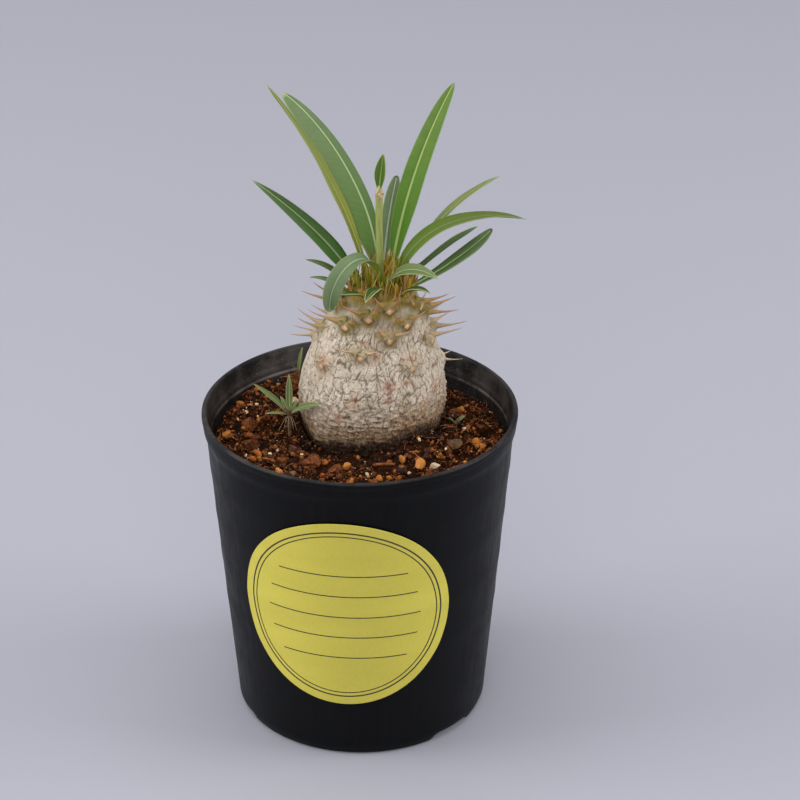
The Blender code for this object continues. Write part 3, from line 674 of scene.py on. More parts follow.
chance = np.random.default_rng(7)
scars = [(facing, height, np.array(tips)) for facing, height, *tips in FRONT_SCARS]
for step in range(BACK_SCARS):
    facing = (GOLDEN_ANGLE * step + BACK_SCAR_START) % 360
    height = BACK_SCAR_TOP - BACK_SCAR_DROP * step
    base, out, side, _ = knob_frame(facing, height)
    spaced = all(np.linalg.norm(on_stem(*other[:2]) - base) > SCAR_SPACING for other in scars)
    if spaced and not FRONT_FROM < facing < FRONT_TO:
        tips = []
        for hand in (1, -1):
            away = unit(out * 0.8 + side * hand * 0.75 + (0.0, 0.0, 0.15 + 0.25 * youth(height)))
            length = SPINE_LENGTH * (0.6 + 0.4 * youth(height)) * chance.uniform(0.85, 1.1)
            tips.append(base + away * length)
        scars.append((facing, height, np.array(tips)))
print(len(scars), "leaf scars,", len(FRONT_SCARS), "of them measured")

# %% How high the soil stands against the stem
SOIL_LEVEL = 84.6
# Heaps on the level soil, and one hollow: place, rise and reach.
SOIL_HEAPS = (((-24.0, 20.0), 3.2, 16.0), ((14.0, -9.0), 5.2, 9.0), ((25.0, 4.0), 2.4, 8.0),
              ((-14.0, -3.5), -2.2, 6.0))


def soil_level(x, y):
    heaps = [rise * np.exp(-(np.hypot(x - heart[0], y - heart[1]) / reach) ** 2)
             for heart, rise, reach in SOIL_HEAPS]
    return SOIL_LEVEL + sum(heaps)


print("the soil reaches up to", round(float(soil_level(14.0, -9.7)), 1), "mm at the right of the stem")

# %% Lay a dense grid over the stem
AROUND = 480
SKIN_STEP = 0.36
SOIL_LINE = 80.0
HIDDEN_ROWS = 14

hidden_run = run[outline[:, 0] < SOIL_LINE][-1]
stem_run = np.concatenate([np.linspace(0.0, hidden_run, HIDDEN_ROWS, endpoint=False),
                           np.arange(hidden_run, run[-1], SKIN_STEP)])
stem_height = np.interp(stem_run, run, outline[:, 0])
skin_facing, skin_height = np.meshgrid(np.linspace(0.0, 360.0, AROUND, endpoint=False), stem_height)
skin_run = np.repeat(stem_run[:, None], AROUND, 1)
skin = on_stem(skin_facing, skin_height)
skin_out = stem_outwards(skin_facing, skin_height)
print("the skin's grid is", skin.shape[0], "by", skin.shape[1])

# %% A net of cracks
def cell_borders(u, v, wrap, seed):
    """Distance to the border between jittered cells, one for each unit; u wraps round."""
    tall = int(v.max()) + 3
    hearts = np.random.default_rng(seed).uniform(0.08, 0.92, (wrap, tall, 2))
    cell_u, cell_v = np.floor(u).astype(int), np.floor(v).astype(int)
    nearest, second = np.full(u.shape, 9.0), np.full(u.shape, 9.0)
    for step_u in (-1, 0, 1):
        for step_v in (-1, 0, 1):
            heart = hearts[(cell_u + step_u) % wrap, (cell_v + step_v) % tall]
            away = np.hypot(cell_u + step_u + heart[..., 0] - u, cell_v + step_v + heart[..., 1] - v)
            second = np.minimum(second, np.maximum(nearest, away))
            nearest = np.minimum(nearest, away)
    return second - nearest


def ripples(points, size, seed=0.0):
    """Smooth random values between about -1 and 1 that change over the given size."""
    shift = Vector((seed, 2.3 * seed, 4.1 * seed))
    flat = np.asarray(points).reshape(-1, 3) / size
    values = [noise.noise(Vector(place) + shift) for place in flat]
    return np.array(values).reshape(np.asarray(points).shape[:-1])


def ramp(value, low, high):
    """0 below low, 1 above high and a smooth climb between."""
    share = np.clip((value - low) / (high - low), 0.0, 1.0)
    return share * share * (3 - 2 * share)


WIDE_CELLS, TALL_CELLS, FINE_CELLS = 34, 66, 88
sway, drift, patches = ripples(skin, 3.0, 1.0), ripples(skin, 2.0, 5.0), ripples(skin, 8.0, 9.0)
column = skin_facing / 360
wide = cell_borders(column * WIDE_CELLS + 0.35 * sway + 0.2 * patches,
                    skin_run / 5.0 + 0.3 * drift + 3, WIDE_CELLS, 3)
tall = cell_borders(column * TALL_CELLS + 0.9 * sway,
                    skin_run / 2.7 + 0.5 * drift + 0.35 * patches + 3, TALL_CELLS, 4)
fine = cell_borders(column * FINE_CELLS + 0.6 * drift, skin_run / 1.2 + 0.8 * sway + 3, FINE_CELLS, 6)
upper = ramp(skin_height + 4 * patches, 92, 102)
smooth_top = ramp(skin_height + 2 * patches, 118, 124)
wide_crack = (1 - ramp(wide, 0.02, 0.1)) * ramp(sway + drift, -0.6, 0.1)
tall_crack = 0.9 * (1 - ramp(tall, 0.03, 0.15)) * ramp(patches - drift, -0.7, 0.15) * (0.3 + 0.7 * upper)
fine_crack = 0.45 * (1 - ramp(fine, 0.03, 0.25)) * (1 - upper)
crack = np.maximum(wide_crack, np.maximum(tall_crack, fine_crack)) * (1 - 0.7 * smooth_top)
print("cracks cover", round(float((crack > 0.5).mean()) * 100), "% of the skin")

# %% Knobs where leaves have dropped off
KNOB_REACH = 9.0


def knob_relief(skin, facing, height):
    """Swelling, scar face, olive tint with painted shade below it, dark rim and heart of one leaf scar, over
    the whole skin.
    """
    young = youth(height)
    centre, _, side, up = knob_frame(facing, height)
    away = skin - centre
    x, y = away @ side, away @ up
    close = np.linalg.norm(away, axis=-1) < KNOB_REACH
    hump = (0.7 + 0.9 * young) * np.exp(-(x / 2.6) ** 2 - ((y - 0.3) / 1.9) ** 2)
    shoulders = (0.45 + 1.15 * young) * np.exp(-((np.abs(x) - 1.7) / 1.3) ** 2 - ((y - 1.0) / 1.2) ** 2)
    diamond = np.abs(x) / 1.3 + np.abs(y + 0.1)
    face = (1 - ramp(diamond, 0.8, 1.05)) * (0.55 + 0.45 * young) * close
    rim = np.exp(-((diamond - 1.25) / 0.22) ** 2) * close
    heart = np.exp(-((x / 0.45) ** 2 + ((y + 0.1) / 0.3) ** 2))
    swell = (hump + shoulders) * close - 0.3 * face + 0.15 * rim
    wings = np.exp(-((np.abs(x) - 1.9) / 2.1) ** 2 - ((y - 1.4) / 1.7) ** 2)
    # Below the scar the olive is painted shade on the underside of the knob.
    under = 0.9 * np.exp(-(x / 2.4) ** 2 - ((y + 1.3) / 1.2) ** 2)
    olive = (0.1 + 0.9 * young) * np.maximum(wings, under) * close
    return swell, face, olive, rim * (0.3 + 0.5 * young) * (y < 0.2), heart * face


reliefs = [knob_relief(skin, facing, height) for facing, height, _ in scars]
swell = sum(relief[0] for relief in reliefs)
scar_face, olive, dark_rim, scar_heart = (
    np.maximum.reduce([relief[part] for relief in reliefs]) for part in range(1, 5))
print("the knobs stand out by up to", round(float(swell.max()), 1), "mm")

# %% Spots, dirt, painted shade and the worn foot of the bark
# Facing, height and reach of small reddish spots on the bark.
RED_SPOTS = [
    (218.5, 110.2, 0.85), (219.5, 107.8, 0.75), (255.5, 117.0, 0.45), (282.5, 120.2, 0.4),
    (307.0, 112.0, 0.6), (282.5, 105.5, 0.95), (282.0, 102.5, 0.7), (298.5, 105.8, 0.7),
    (341.5, 101.0, 0.6), (255.5, 101.8, 0.8), (313.0, 97.8, 0.7), (242.5, 96.0, 0.9),
    (212.0, 90.0, 0.8), (271.0, 113.8, 0.65), (331.0, 101.0, 0.75), (249.0, 99.7, 0.5),
]
blush, halo = np.zeros(skin.shape[:2]), np.zeros(skin.shape[:2])
blotch = ripples(skin, 0.9, 41.0)
for facing, height, reach in RED_SPOTS:
    away = np.linalg.norm(skin - on_stem(facing, height), axis=-1) * (1 + 0.5 * sway + 0.9 * blotch)
    blush = np.maximum(blush, np.exp(-(away / (0.6 * reach)) ** 2))
    halo = np.maximum(halo, np.exp(-(away / (2.2 * reach)) ** 2))
# The very top of the stem is green like the leaf feet that stand on it.
olive = np.maximum(olive, 0.85 * ramp(skin_height + 0.9 * drift, 123.8, 127.2) * (1 - scar_face))
above_soil = skin_height - soil_level(skin[..., 0], skin[..., 1])
above_soil += 1.8 * patches + 1.4 * drift + 0.8 * blotch
wrinkles = ripples(skin / (1.0, 1.0, 0.4), 0.9, 13.0)
folds = ripples(skin / (1.0, 1.0, 0.3), 2.0, 23.0) * (1 - ramp(skin_height + 3 * patches, 96, 104))
dirt = 1 - ramp(above_soil + 7.0 * folds, 2.5, 14.5)
# A painted contact shadow: near black in the last few millimetres above the soil.
wet = 1 - ramp(above_soil, 0.8, 4.4)
crack = np.maximum(crack, 0.7 * ramp(-folds, 0.18, 0.5))
crack_depth = 0.2 * (1 - smooth_top) + 0.08
bark_height = (0.25 * patches - crack_depth * crack + swell + (0.06 * wrinkles + 0.55 * folds) * (1 - olive)
               + (0.03 + 0.2 * dirt) * ripples(skin, 0.45, 17.0) - 0.2 * blush * (1 - smooth_top))
skin = skin + skin_out * bark_height[..., None]
print("bark relief runs from", round(float(bark_height.min()), 2), "to",
      round(float(bark_height.max()), 2), "mm")

# %% [markdown]
# The bark's colours follow the same reliefs that shaped it, painted on its points as values. Cracks
# are olive-brown and dirty, the plates between them cream. The young knobs are still olive, with a
# tan scar inside a dark rim. That keeps colour and shape together, as they are on the real plant.
# Painted shade darkens the skin under each knob, the young skin near the crown and a narrow band
# where the stem meets the soil.

# %% The bark's finish
bark = Finish("silver_bark", 0.8, 0.2)
broad = bark.cloud(7)
mottle = bark.cloud(1.5, 4.0, 0.6, (1.0, 1.0, 0.5))
specks = bark.cloud(0.4, 3.0, 0.6)
fibres = bark.cloud(0.45, 3.0, 0.6, (1.0, 1.0, 0.35))
hairs = bark.cracks(0.8, 1.1, 0.9, (1.0, 1.0, 0.36))
net = bark.cracks(1.25, 1.4, 1.0, (1.0, 1.0, 0.72))
bark.base((0.565, 0.485, 0.405), (0.43, 0.36, 0.285), broad, 0.35, 0.65)
bark.lay((0.31, 0.235, 0.155), mottle, 0.42, 0.75, 0.0, 0.5)
bark.lay((0.70, 0.635, 0.565), specks, 0.56, 0.72, 0.0, 0.6)
bark.lay((0.125, 0.10, 0.05), broad, 0.35, 0.6, 0.6, 0.1, where=bark.between(net, 0.0, 0.06, 1.0, 0.0))
bark.lay((0.19, 0.15, 0.085), mottle, 0.38, 0.6, 0.1, 0.5, where=bark.between(hairs, 0.0, 0.08, 1.0, 0.0))
# The smooth young skin near the crown has its own grey-green, darkened further as painted shade under the
# leaves.
bark.lay(bark.blend((0.24, 0.21, 0.145), (0.37, 0.325, 0.26), mottle, 0.35, 0.7), "young")
bark.lay((0.115, 0.085, 0.04), "crack", 0.0, 1.0, 0.0, 0.92)
# Olive on the wings of the young knobs, and as painted shade under each knob.
bark.lay(bark.blend((0.125, 0.088, 0.012), (0.235, 0.165, 0.038), mottle, 0.35, 0.7), "olive")
bark.lay((0.07, 0.03, 0.01), "rim")
bark.lay(bark.blend((0.56, 0.33, 0.155), (0.40, 0.215, 0.09), specks, 0.35, 0.7), "scar")
bark.lay((0.78, 0.58, 0.37), "heart")
bark.lay((0.36, 0.185, 0.11), "halo", 0.0, 1.0, 0.0, 0.6)
bark.lay((0.135, 0.045, 0.038), "blush", 0.0, 1.0, 0.0, 0.85)
bark.lay(bark.blend((0.055, 0.024, 0.007), (0.31, 0.175, 0.078), fibres, 0.38, 0.62), mottle, 0.3, 0.6,
         0.65, 1.0, where="dirt")
# Painted contact shadow where the stem meets the soil.
bark.lay(bark.blend((0.018, 0.009, 0.005), (0.085, 0.045, 0.02), fibres, 0.45, 0.7), "wet")
bark.coat((specks, 0.3, 0.7, 0.66, 0.88), (mottle, 0.07), (specks, 0.04),
          (bark.between(hairs, 0.0, 0.12), 0.08), (bark.between(net, 0.0, 0.1), 0.035))

# %% Make the bark
not_olive = 1 - olive
bark_values = {
    "crack": crack, "olive": 1.2 * olive, "rim": dark_rim, "scar": scar_face, "heart": scar_heart,
    "blush": blush * not_olive, "halo": halo * not_olive, "dirt": dirt, "wet": wet, "young": smooth_top,
}
bark_values = {title: np.append(np.clip(values, 0.0, 1.0).ravel(), (0.0, 0.0))
               for title, values in bark_values.items()}
make_piece("caudex_bark", (*sleeve(skin, ROOT_END, STEM_END), bark_values), bark, "caudex")

# %% [markdown]
# ## Spines
#
# Each old leaf left two spines. A spine is a little horn: broad and olive where it leaves the knob,
# soon a thin needle, and bent up slightly. A cone would be too plain. Here each spine is a bent
# centre line with a ring of points at every step, and the rings shrink fast, then slowly.

# %% A spine along a bent line
SPINE_RINGS = 17
SPINE_SIDES = 10


def bent_line(start, middle, end, count):
    """A smooth bow from start to end that is drawn towards the middle point."""
    t = np.linspace(0.0, 1.0, count)[:, None]
    return start * (1 - t) ** 2 + middle * 2 * t * (1 - t) + end * t ** 2


def tube(line, radii, sides):
    """Rings of points round a line, ready for a sleeve."""
    along = unit(np.gradient(line, axis=0))
    side = unit(np.cross(along, (0.0, 0.0, 1.0)) + (1e-6, 0.0, 0.0))
    across = np.cross(side, along)
    turn = turns(sides)[:, None]
    ring = side[:, None] * np.cos(turn) + across[:, None] * np.sin(turn)
    return line[:, None] + ring * np.asarray(radii)[:, None, None]


def horn(start, middle, end, foot, needle, age):
    """A spine: points, faces, and how far along it each point is plus the age of the spine."""
    line = bent_line(start, middle, end, SPINE_RINGS)
    share = np.linspace(0.0, 1.0, SPINE_RINGS)
    radii = foot * np.exp(-(share / 0.24) ** 1.1) + needle * (1 - share) ** 0.6 + 0.03
    points, faces = sleeve(tube(line, radii, SPINE_SIDES), line[0], line[-1] + (end - middle) * 0.01)
    along = np.append(np.repeat(share, SPINE_SIDES), (0.0, 1.0))
    return points, faces, {"along": along, "age": np.full(len(along), age)}


print("a spine has", SPINE_RINGS * SPINE_SIDES, "points round its line")

# %% Grow the spines of the stem
YOUNG_PAIRS = 15

chance = np.random.default_rng(8)
horns = []
for facing, height, tips in scars:
    base, out, side, up = knob_frame(facing, height)
    young = youth(height)
    for hand, end in zip((1, -1), tips):
        start = base + side * hand * 1.15 + up * 1.3 - out * 0.3
        reach = np.linalg.norm(end - start)
        middle = (start + end) / 2 + (out * 0.07 + side * hand * 0.05 - (0.0, 0.0, 0.09)) * reach
        horns.append(horn(start, middle, end, 0.5 + 1.35 * young, 0.17 + 0.08 * young, 1 - young))
# Young horns at the rim of the crown, still upright, that have no scar below them yet.
for step in range(YOUNG_PAIRS):
    base, out, side, _ = knob_frame(24 * step + 7, 127.4 + 0.9 * (step % 2))
    for hand in (1, -1):
        end = base + out * chance.uniform(1.5, 3.0) + side * hand * chance.uniform(0.8, 1.8)
        end[2] += chance.uniform(3.0, 5.0)
        middle = base + out * 1.3 + side * hand * 0.6 + (0.0, 0.0, 1.0)
        horns.append(horn(base - out * 0.5 + side * hand * 0.5, middle, end, 1.15, 0.16, 0.0))
print("grew", len(horns), "spines")

# %% The spines' finish
spine_skin = Finish("spine_skin", 0.5, 0.4)
ripple = spine_skin.cloud(0.4)
spine_skin.base((0.19, 0.145, 0.030), (0.33, 0.19, 0.055), "along", 0.05, 0.42)
spine_skin.lay((0.40, 0.20, 0.11), "along", 0.42, 0.72)
spine_skin.lay((0.36, 0.24, 0.20), "along", 0.72, 1.0)
spine_skin.lay((0.50, 0.42, 0.34), "age", 0.0, 1.0, 0.0, 0.75)
spine_skin.lay((0.15, 0.085, 0.035), ripple, 0.45, 0.75, 0.0, 0.45)
spine_skin.coat((ripple, 0.3, 0.7, 0.42, 0.6), (ripple, 0.03))
make_piece("caudex_spines", gathered(horns), spine_skin)

# %% [markdown]
# ## Leaves
#
# Each leaf grows along a curve of its own: it leaves the crown at some angle and bends over as it
# goes. Sixteen measured leaves share one rule with a dozen numbers each. Modelling them one by one
# would take longer and be no truer. The section is a thin lens with a sunken midrib above, a keel
# below and margins rolled slightly under.

# %% The rule for one blade
BLADE_SIDES = (1.0, 0.98, 0.93, 0.82, 0.66, 0.48, 0.32, 0.2, 0.11, 0.05, 0.0)
BLADE_THICKNESS = 0.6
BLADE_STATIONS = 84


def leaf_width(share, widest, point):
    """Share of the full width along the leaf: a narrow foot, the widest place, then a point."""
    rising = 0.2 + 0.8 * np.sin(np.pi / 2 * np.minimum(share / widest, 1.0)) ** 1.1
    falling = np.cos(np.pi / 2 * np.clip((share - widest) / (1 - widest), 0.0, 1.0)) ** point
    return np.where(share < widest, rising, falling)


def blade_frame(base, facing, rise, bend, length, swing=0, roll=0, twist=0, curl=1.0,
                stations=BLADE_STATIONS):
    """Shares along a leaf, its centre line, and its sideward and upper directions at each share."""
    share = np.linspace(0.0, 1.0, stations + 1)
    heading = np.radians(facing + swing * share)
    slope = np.radians(rise + bend * share ** curl)
    along = np.stack([np.cos(heading) * np.cos(slope), np.sin(heading) * np.cos(slope), np.sin(slope)], -1)
    side = np.stack([-np.sin(heading), np.cos(heading), 0 * heading], -1)
    normal = np.cross(along, side)
    turn = np.radians(roll + twist * share)[:, None]
    steps = 0.5 * (along[1:] + along[:-1]) * length / stations
    line = np.asarray(base) + np.vstack([np.zeros(3), np.cumsum(steps, 0)])
    across = side * np.cos(turn) + normal * np.sin(turn)
    return share, line, across, normal * np.cos(turn) - side * np.sin(turn)


def leaf_blade(base, facing, rise, bend, length, width, widest=0.5, fold=10, point=0.75, petiole=0.75,
               seed=0, thickness=BLADE_THICKNESS, stout_rib=0.0, skew=0.0, **course):
    """Points, faces and painted values of one leaf; a smaller point gives a blunter tip.

    The midrib lies off the middle of the blade by skew, as a share of half its width.
    """
    share, line, across, face = blade_frame(base, facing, rise, bend, length, **course)
    half = np.maximum(width / 2 * leaf_width(share, widest, point), np.where(share < 0.5, petiole, 0.14))
    half = (half + 0.6 * petiole * np.exp(-share * length / 1.5))[:, None]
    share = share[:, None]
    upper = np.array([*BLADE_SIDES, *(-side for side in BLADE_SIDES[-2::-1])])
    u = np.concatenate([upper, upper[-2:0:-1]])
    below = np.concatenate([np.zeros(len(upper)), np.ones(len(upper) - 2)])
    rib = 0.15 + (0.16 + stout_rib) * (1 - share) ** 1.3
    distance = np.abs(u) * half
    thick = thickness / 2 * np.minimum(1.0, half / 1.2) * np.sqrt(np.maximum(1 - np.abs(u) ** 5, 0.0))
    groove = np.exp(-(distance / (1.8 * rib)) ** 2) * np.minimum(1.0, half / 1.5)
    top = thick * 0.8 - 0.2 * groove
    keel = -thick * 0.7 - (0.6 - 0.3 * share) * groove
    lift = half * math.tan(math.radians(fold)) * np.abs(u) ** 1.3
    rolled = -0.05 * half * np.clip((np.abs(u) - 0.8) / 0.2, 0.0, 1.0) ** 2
    wave = 0.1 * np.sin(share * length / 3.1 + seed) * u ** 2 * np.minimum(half / 2, 1.0)
    raised = lift + rolled + wave + np.where(below > 0, keel, top)
    placed = (u + skew * (1 - u * u)) * half
    rings = line[:, None] + across[:, None] * placed[..., None] + face[:, None] * raised[..., None]
    points, faces = sleeve(rings, line[0], line[-1] + (line[-1] - line[-2]) * 0.3)
    values = {"along": share, "aside": u * half, "rib": rib, "inset": half - distance, "under": below,
              "vein": share * length - 1.15 * distance}
    for title, value in values.items():
        value = value + 0 * distance
        values[title] = np.append(value.ravel(), (value[0].mean(), value[-1].mean()))
    return points, faces, values


print("a blade has", 4 * len(BLADE_SIDES) - 4, "points in each section")

# %% A finish for a leaf, by its own few colours
VEIN_SPACING = 2.1
MARGIN_WIDTH = 0.25
BLACK = (0.0, 0.0, 0.0)


def mixed(a, b, share):
    return tuple((1 - share) * one + share * other for one, other in zip(a, b))


def leaf_finish(name, blade, other_half_painted_light, rib, margin, underside, foot, tip, low=None):
    """Leaf green with painted light that differs over the midrib, and changes along the margins, underneath
    and at both ends.
    """
    finish = Finish(name, 0.52, 0.22)
    cells = finish.cloud(0.35, 3.0, 0.6)
    wave = finish.reckon("MULTIPLY", finish.painted("vein"), 2 * math.pi / VEIN_SPACING)
    veins = finish.between(finish.reckon("SINE", wave), 0.82, 1.0)
    from_rib = finish.reckon("DIVIDE", finish.reckon("ABSOLUTE", finish.painted("aside")),
                             finish.painted("rib"))
    # The two halves of the upper side differ in painted light and shade, split at the midrib.
    finish.base(blade, other_half_painted_light, "aside", -0.15, 0.15)
    finish.lay(mixed(blade, rib, 0.25), finish.cloud(3.5), 0.35, 0.7, 0.0, 0.3)
    if low is not None:
        finish.lay(low, "along", 0.2, 0.75, 0.85, 0.0)
    finish.lay(rib, veins, 0.0, 1.0, 0.0, 0.05)
    finish.lay(mixed(blade, BLACK, 0.4), cells, 0.5, 0.8, 0.0, 0.3)
    finish.lay(mixed(blade, BLACK, 0.45), from_rib, 1.3, 3.2, 0.3, 0.0)
    finish.lay(underside, "under")
    finish.lay(rib, from_rib, 0.7, 1.3, 0.95, 0.0)
    finish.lay(margin, "inset", 0.4 * MARGIN_WIDTH, MARGIN_WIDTH, 0.85, 0.0)
    finish.lay(foot, "along", 0.02, 0.12, 0.85, 0.0)
    finish.lay(tip, "along", 0.965, 0.99, 0.0, 0.9)
    height = finish.reckon("ADD", finish.reckon("MULTIPLY", cells, 0.4),
                           finish.reckon("MULTIPLY", veins, -0.6))
    return finish.coat((cells, 0.3, 0.7, 0.4, 0.56), (height, 0.05))


print("the side veins of a leaf lie", VEIN_SPACING, "mm apart")

# %% [markdown]
# The leaves differ: some are grey with bloom, some deep green, some turn their yellow-green
# undersides to the eye. So each kind has its own few colours, given as the light that they return.

# %% The colours of the leaves
CREAM = (0.27, 0.35, 0.155)
PALE_EDGE = (0.20, 0.25, 0.10)
OLIVE = (0.135, 0.155, 0.03)
FOOT_OLIVE = (0.17, 0.15, 0.015)
FOOT_ORANGE = (0.25, 0.14, 0.015)
TIP_PALE = (0.26, 0.29, 0.15)

# Each finish: one half of the upper side, the other half (its painted light differs from the first),
# midrib, margin, underside, foot and tip, and for some the fresher green of the lower part.
LEAF_COLOURS = {
    "leaf_grey": ((0.079, 0.124, 0.050), (0.088, 0.133, 0.050), CREAM, PALE_EDGE, OLIVE, FOOT_OLIVE,
                  TIP_PALE, (0.060, 0.120, 0.016)),
    "leaf_yellow": ((0.120, 0.150, 0.033), (0.135, 0.170, 0.042), (0.28, 0.35, 0.10), (0.20, 0.20, 0.05),
                    (0.16, 0.19, 0.04), FOOT_OLIVE, TIP_PALE, (0.190, 0.190, 0.014)),
    "leaf_deep": ((0.030, 0.062, 0.013), (0.045, 0.096, 0.020), (0.17, 0.24, 0.10), (0.09, 0.13, 0.05),
                  (0.04, 0.07, 0.016), (0.13, 0.09, 0.03), TIP_PALE, (0.029, 0.086, 0.005)),
    "leaf_fresh": ((0.068, 0.128, 0.013), (0.055, 0.108, 0.010), (0.24, 0.32, 0.085), (0.16, 0.23, 0.09),
                   (0.10, 0.15, 0.025), FOOT_OLIVE, (0.14, 0.17, 0.07), (0.048, 0.135, 0.002)),
    "leaf_silver": ((0.080, 0.120, 0.052), (0.088, 0.135, 0.055), (0.30, 0.35, 0.21), (0.26, 0.30, 0.17),
                    OLIVE, FOOT_OLIVE, (0.035, 0.04, 0.02)),
    "leaf_olive": (OLIVE, (0.145, 0.175, 0.060), CREAM, PALE_EDGE, (0.16, 0.18, 0.04), FOOT_ORANGE,
                   TIP_PALE),
    "leaf_under": ((0.072, 0.104, 0.015), (0.060, 0.090, 0.011), (0.125, 0.155, 0.045),
                   (0.15, 0.175, 0.06), (0.066, 0.10, 0.011), FOOT_ORANGE, (0.23, 0.23, 0.20),
                   (0.064, 0.115, 0.003)),
    "leaf_shade": ((0.062, 0.116, 0.024), (0.078, 0.128, 0.032), (0.13, 0.17, 0.07), (0.10, 0.13, 0.055),
                   (0.05, 0.075, 0.018), FOOT_OLIVE, TIP_PALE),
    "leaf_spotted": ((0.078, 0.130, 0.042), (0.088, 0.140, 0.050), CREAM, PALE_EDGE, OLIVE,
                     FOOT_OLIVE, (0.045, 0.022, 0.01), (0.045, 0.095, 0.012)),
    "leaf_arched": ((0.103, 0.145, 0.067), (0.080, 0.120, 0.050), (0.22, 0.29, 0.15), (0.15, 0.20, 0.10),
                    (0.185, 0.205, 0.018), (0.20, 0.17, 0.012), TIP_PALE),
    "leaf_curved": ((0.085, 0.115, 0.024), (0.100, 0.135, 0.042), (0.18, 0.23, 0.11), (0.24, 0.29, 0.17),
                    (0.085, 0.105, 0.016), (0.17, 0.13, 0.012), (0.22, 0.26, 0.15)),
    "leaf_small": ((0.028, 0.060, 0.008), (0.036, 0.070, 0.011), (0.16, 0.21, 0.07), (0.36, 0.37, 0.18),
                   (0.07, 0.11, 0.014), FOOT_ORANGE, TIP_PALE),
}
leaf_finishes = {name: leaf_finish(name, *colours) for name, colours in LEAF_COLOURS.items()}

# %% The measured leaves
# Finish; facing and height of the seat on the crown; the way the leaf faces, its rise where it
# leaves the crown, how far it bends over by its tip, its length and its width; and how it differs
# from a plain leaf, first in its course, then in its blade.
LEAVES = {
    "01": ("leaf_grey", (112, 130.4), (128.7, 74.5, -54.1, 60.7, 8.3),
           dict(swing=3.1, roll=-20, twist=-25, curl=0.84),
           dict(widest=0.35, fold=5, point=0.5, skew=-0.45)),
    "02": ("leaf_yellow", (168, 130.2), (157.4, 76.2, -28.3, 61.9, 8.6),
           dict(swing=1.7, roll=2.7, twist=24, curl=0.86), dict(widest=0.55, fold=5)),
    "03": ("leaf_deep", (185, 129), (159.3, 67.3, -42.7, 41.6, 5.1),
           dict(swing=-7.9, roll=-44, twist=13.5, curl=0.49), dict(widest=0.3, fold=4)),
    "04": ("leaf_fresh", (42, 130.4), (62, 75.5, -45.3, 59.2, 6.6),
           dict(swing=-2.4, roll=4, twist=17, curl=0.77),
           dict(widest=0.4, fold=2, point=0.5, stout_rib=0.12)),
    "05": ("leaf_silver", (86, 130.2), (83, 58, -1, 27.3, 4.4),
           dict(swing=-18, roll=10, twist=4), dict(widest=0.66, point=0.4)),
    "06": ("leaf_olive", (40, 129.6), (38, 44, -41, 43.4, 4.6),
           dict(swing=2, roll=-20, twist=3, curl=1.4), dict(widest=0.59)),
    "07": ("leaf_under", (-12, 130.3), (-16, 75, -82, 47.4, 6.6),
           dict(swing=-2, roll=41, twist=-47, curl=0.88), dict(widest=0.34)),
    "08": ("leaf_shade", (-8, 129.6), (-2, 42.6, -13.4, 26.9, 4.4),
           dict(swing=1, roll=4, twist=-9, curl=2.38), dict(widest=0.59)),
    "09": ("leaf_spotted", (-30, 128.6), (7, 28, 20, 29.6, 4.4),
           dict(swing=-9.5, roll=28, twist=5, curl=1.3), dict(widest=0.72, fold=3, point=0.45)),
    "10": ("leaf_arched", (-125, 130.3), (-127, 108, -204, 32.3, 5.3),
           dict(swing=-10, roll=4, twist=-59, curl=0.8),
           dict(widest=0.75, fold=20, point=0.45, petiole=2.2)),
    "11": ("leaf_curved", (-72, 130.2), (-44, 58, -74, 21.8, 4.2),
           dict(swing=2, roll=34, twist=-3), dict(widest=0.42, petiole=1.5)),
    "12": ("leaf_shade", (172, 127.6), (165, 48, -44, 14.5, 3.0), {}, {}),
    "13": ("leaf_shade", (196, 127.0), (185, 51, -51, 12.5, 2.4), {}, {}),
    "14": ("leaf_small", (-93, 129.0), (-110, 38, -53, 14, 3.2), {}, dict(fold=25)),
    "15": ("leaf_small", (-128, 128.0), (-150, 25, -21, 7.6, 2.4), {}, dict(fold=15)),
    "16": ("leaf_small", (-50, 128.2), (-35, 51, -71, 10.2, 2.6), {}, dict(fold=15)),
}
PETIOLE_CLEAR = 0.75
for number, (kind, seat, sizes, course, shape) in LEAVES.items():
    base = on_stem(*seat) + stem_outwards(*seat) * PETIOLE_CLEAR
    blade = leaf_blade(base, *sizes, seed=int(number), **course, **shape)
    make_piece("leaf_blade_" + number, blade, leaf_finishes[kind], "leaf_" + number)

# %% [markdown]
# ## The crown
#
# Where the leaves leave the stem their feet swell and turn orange-green, and among them stand the
# upright feet of leaves that have dropped and a crowd of fine amber needles with pale tips. They
# are grown by rule from the same seats as the leaves, and a few more fill the gaps.

# %% Leaf feet at the crown
FOOT_RINGS = 14
FOOT_SIDES = 20
OLD_FEET = 32
FRESH_FOOT_TONE = 0.35

chance = np.random.default_rng(21)
feet = []


def add_foot(line, low, high, tone):
    """A leaf foot along a line: rounded below, then tapering from one radius to the other."""
    share = np.linspace(0.0, 1.0, FOOT_RINGS)
    radii = (low + (high - low) * share ** 0.8) * np.sqrt(1 - (1 - np.minimum(share / 0.2, 1.0)) ** 2 * 0.9)
    radii[-3:] *= (0.9, 0.7, 0.35)
    points, faces = sleeve(tube(line, radii, FOOT_SIDES), line[0], line[-1])
    along = np.append(np.repeat(share, FOOT_SIDES), (0.0, 1.0))
    feet.append((points, faces, {"along": along, "tone": np.full(len(along), tone)}))


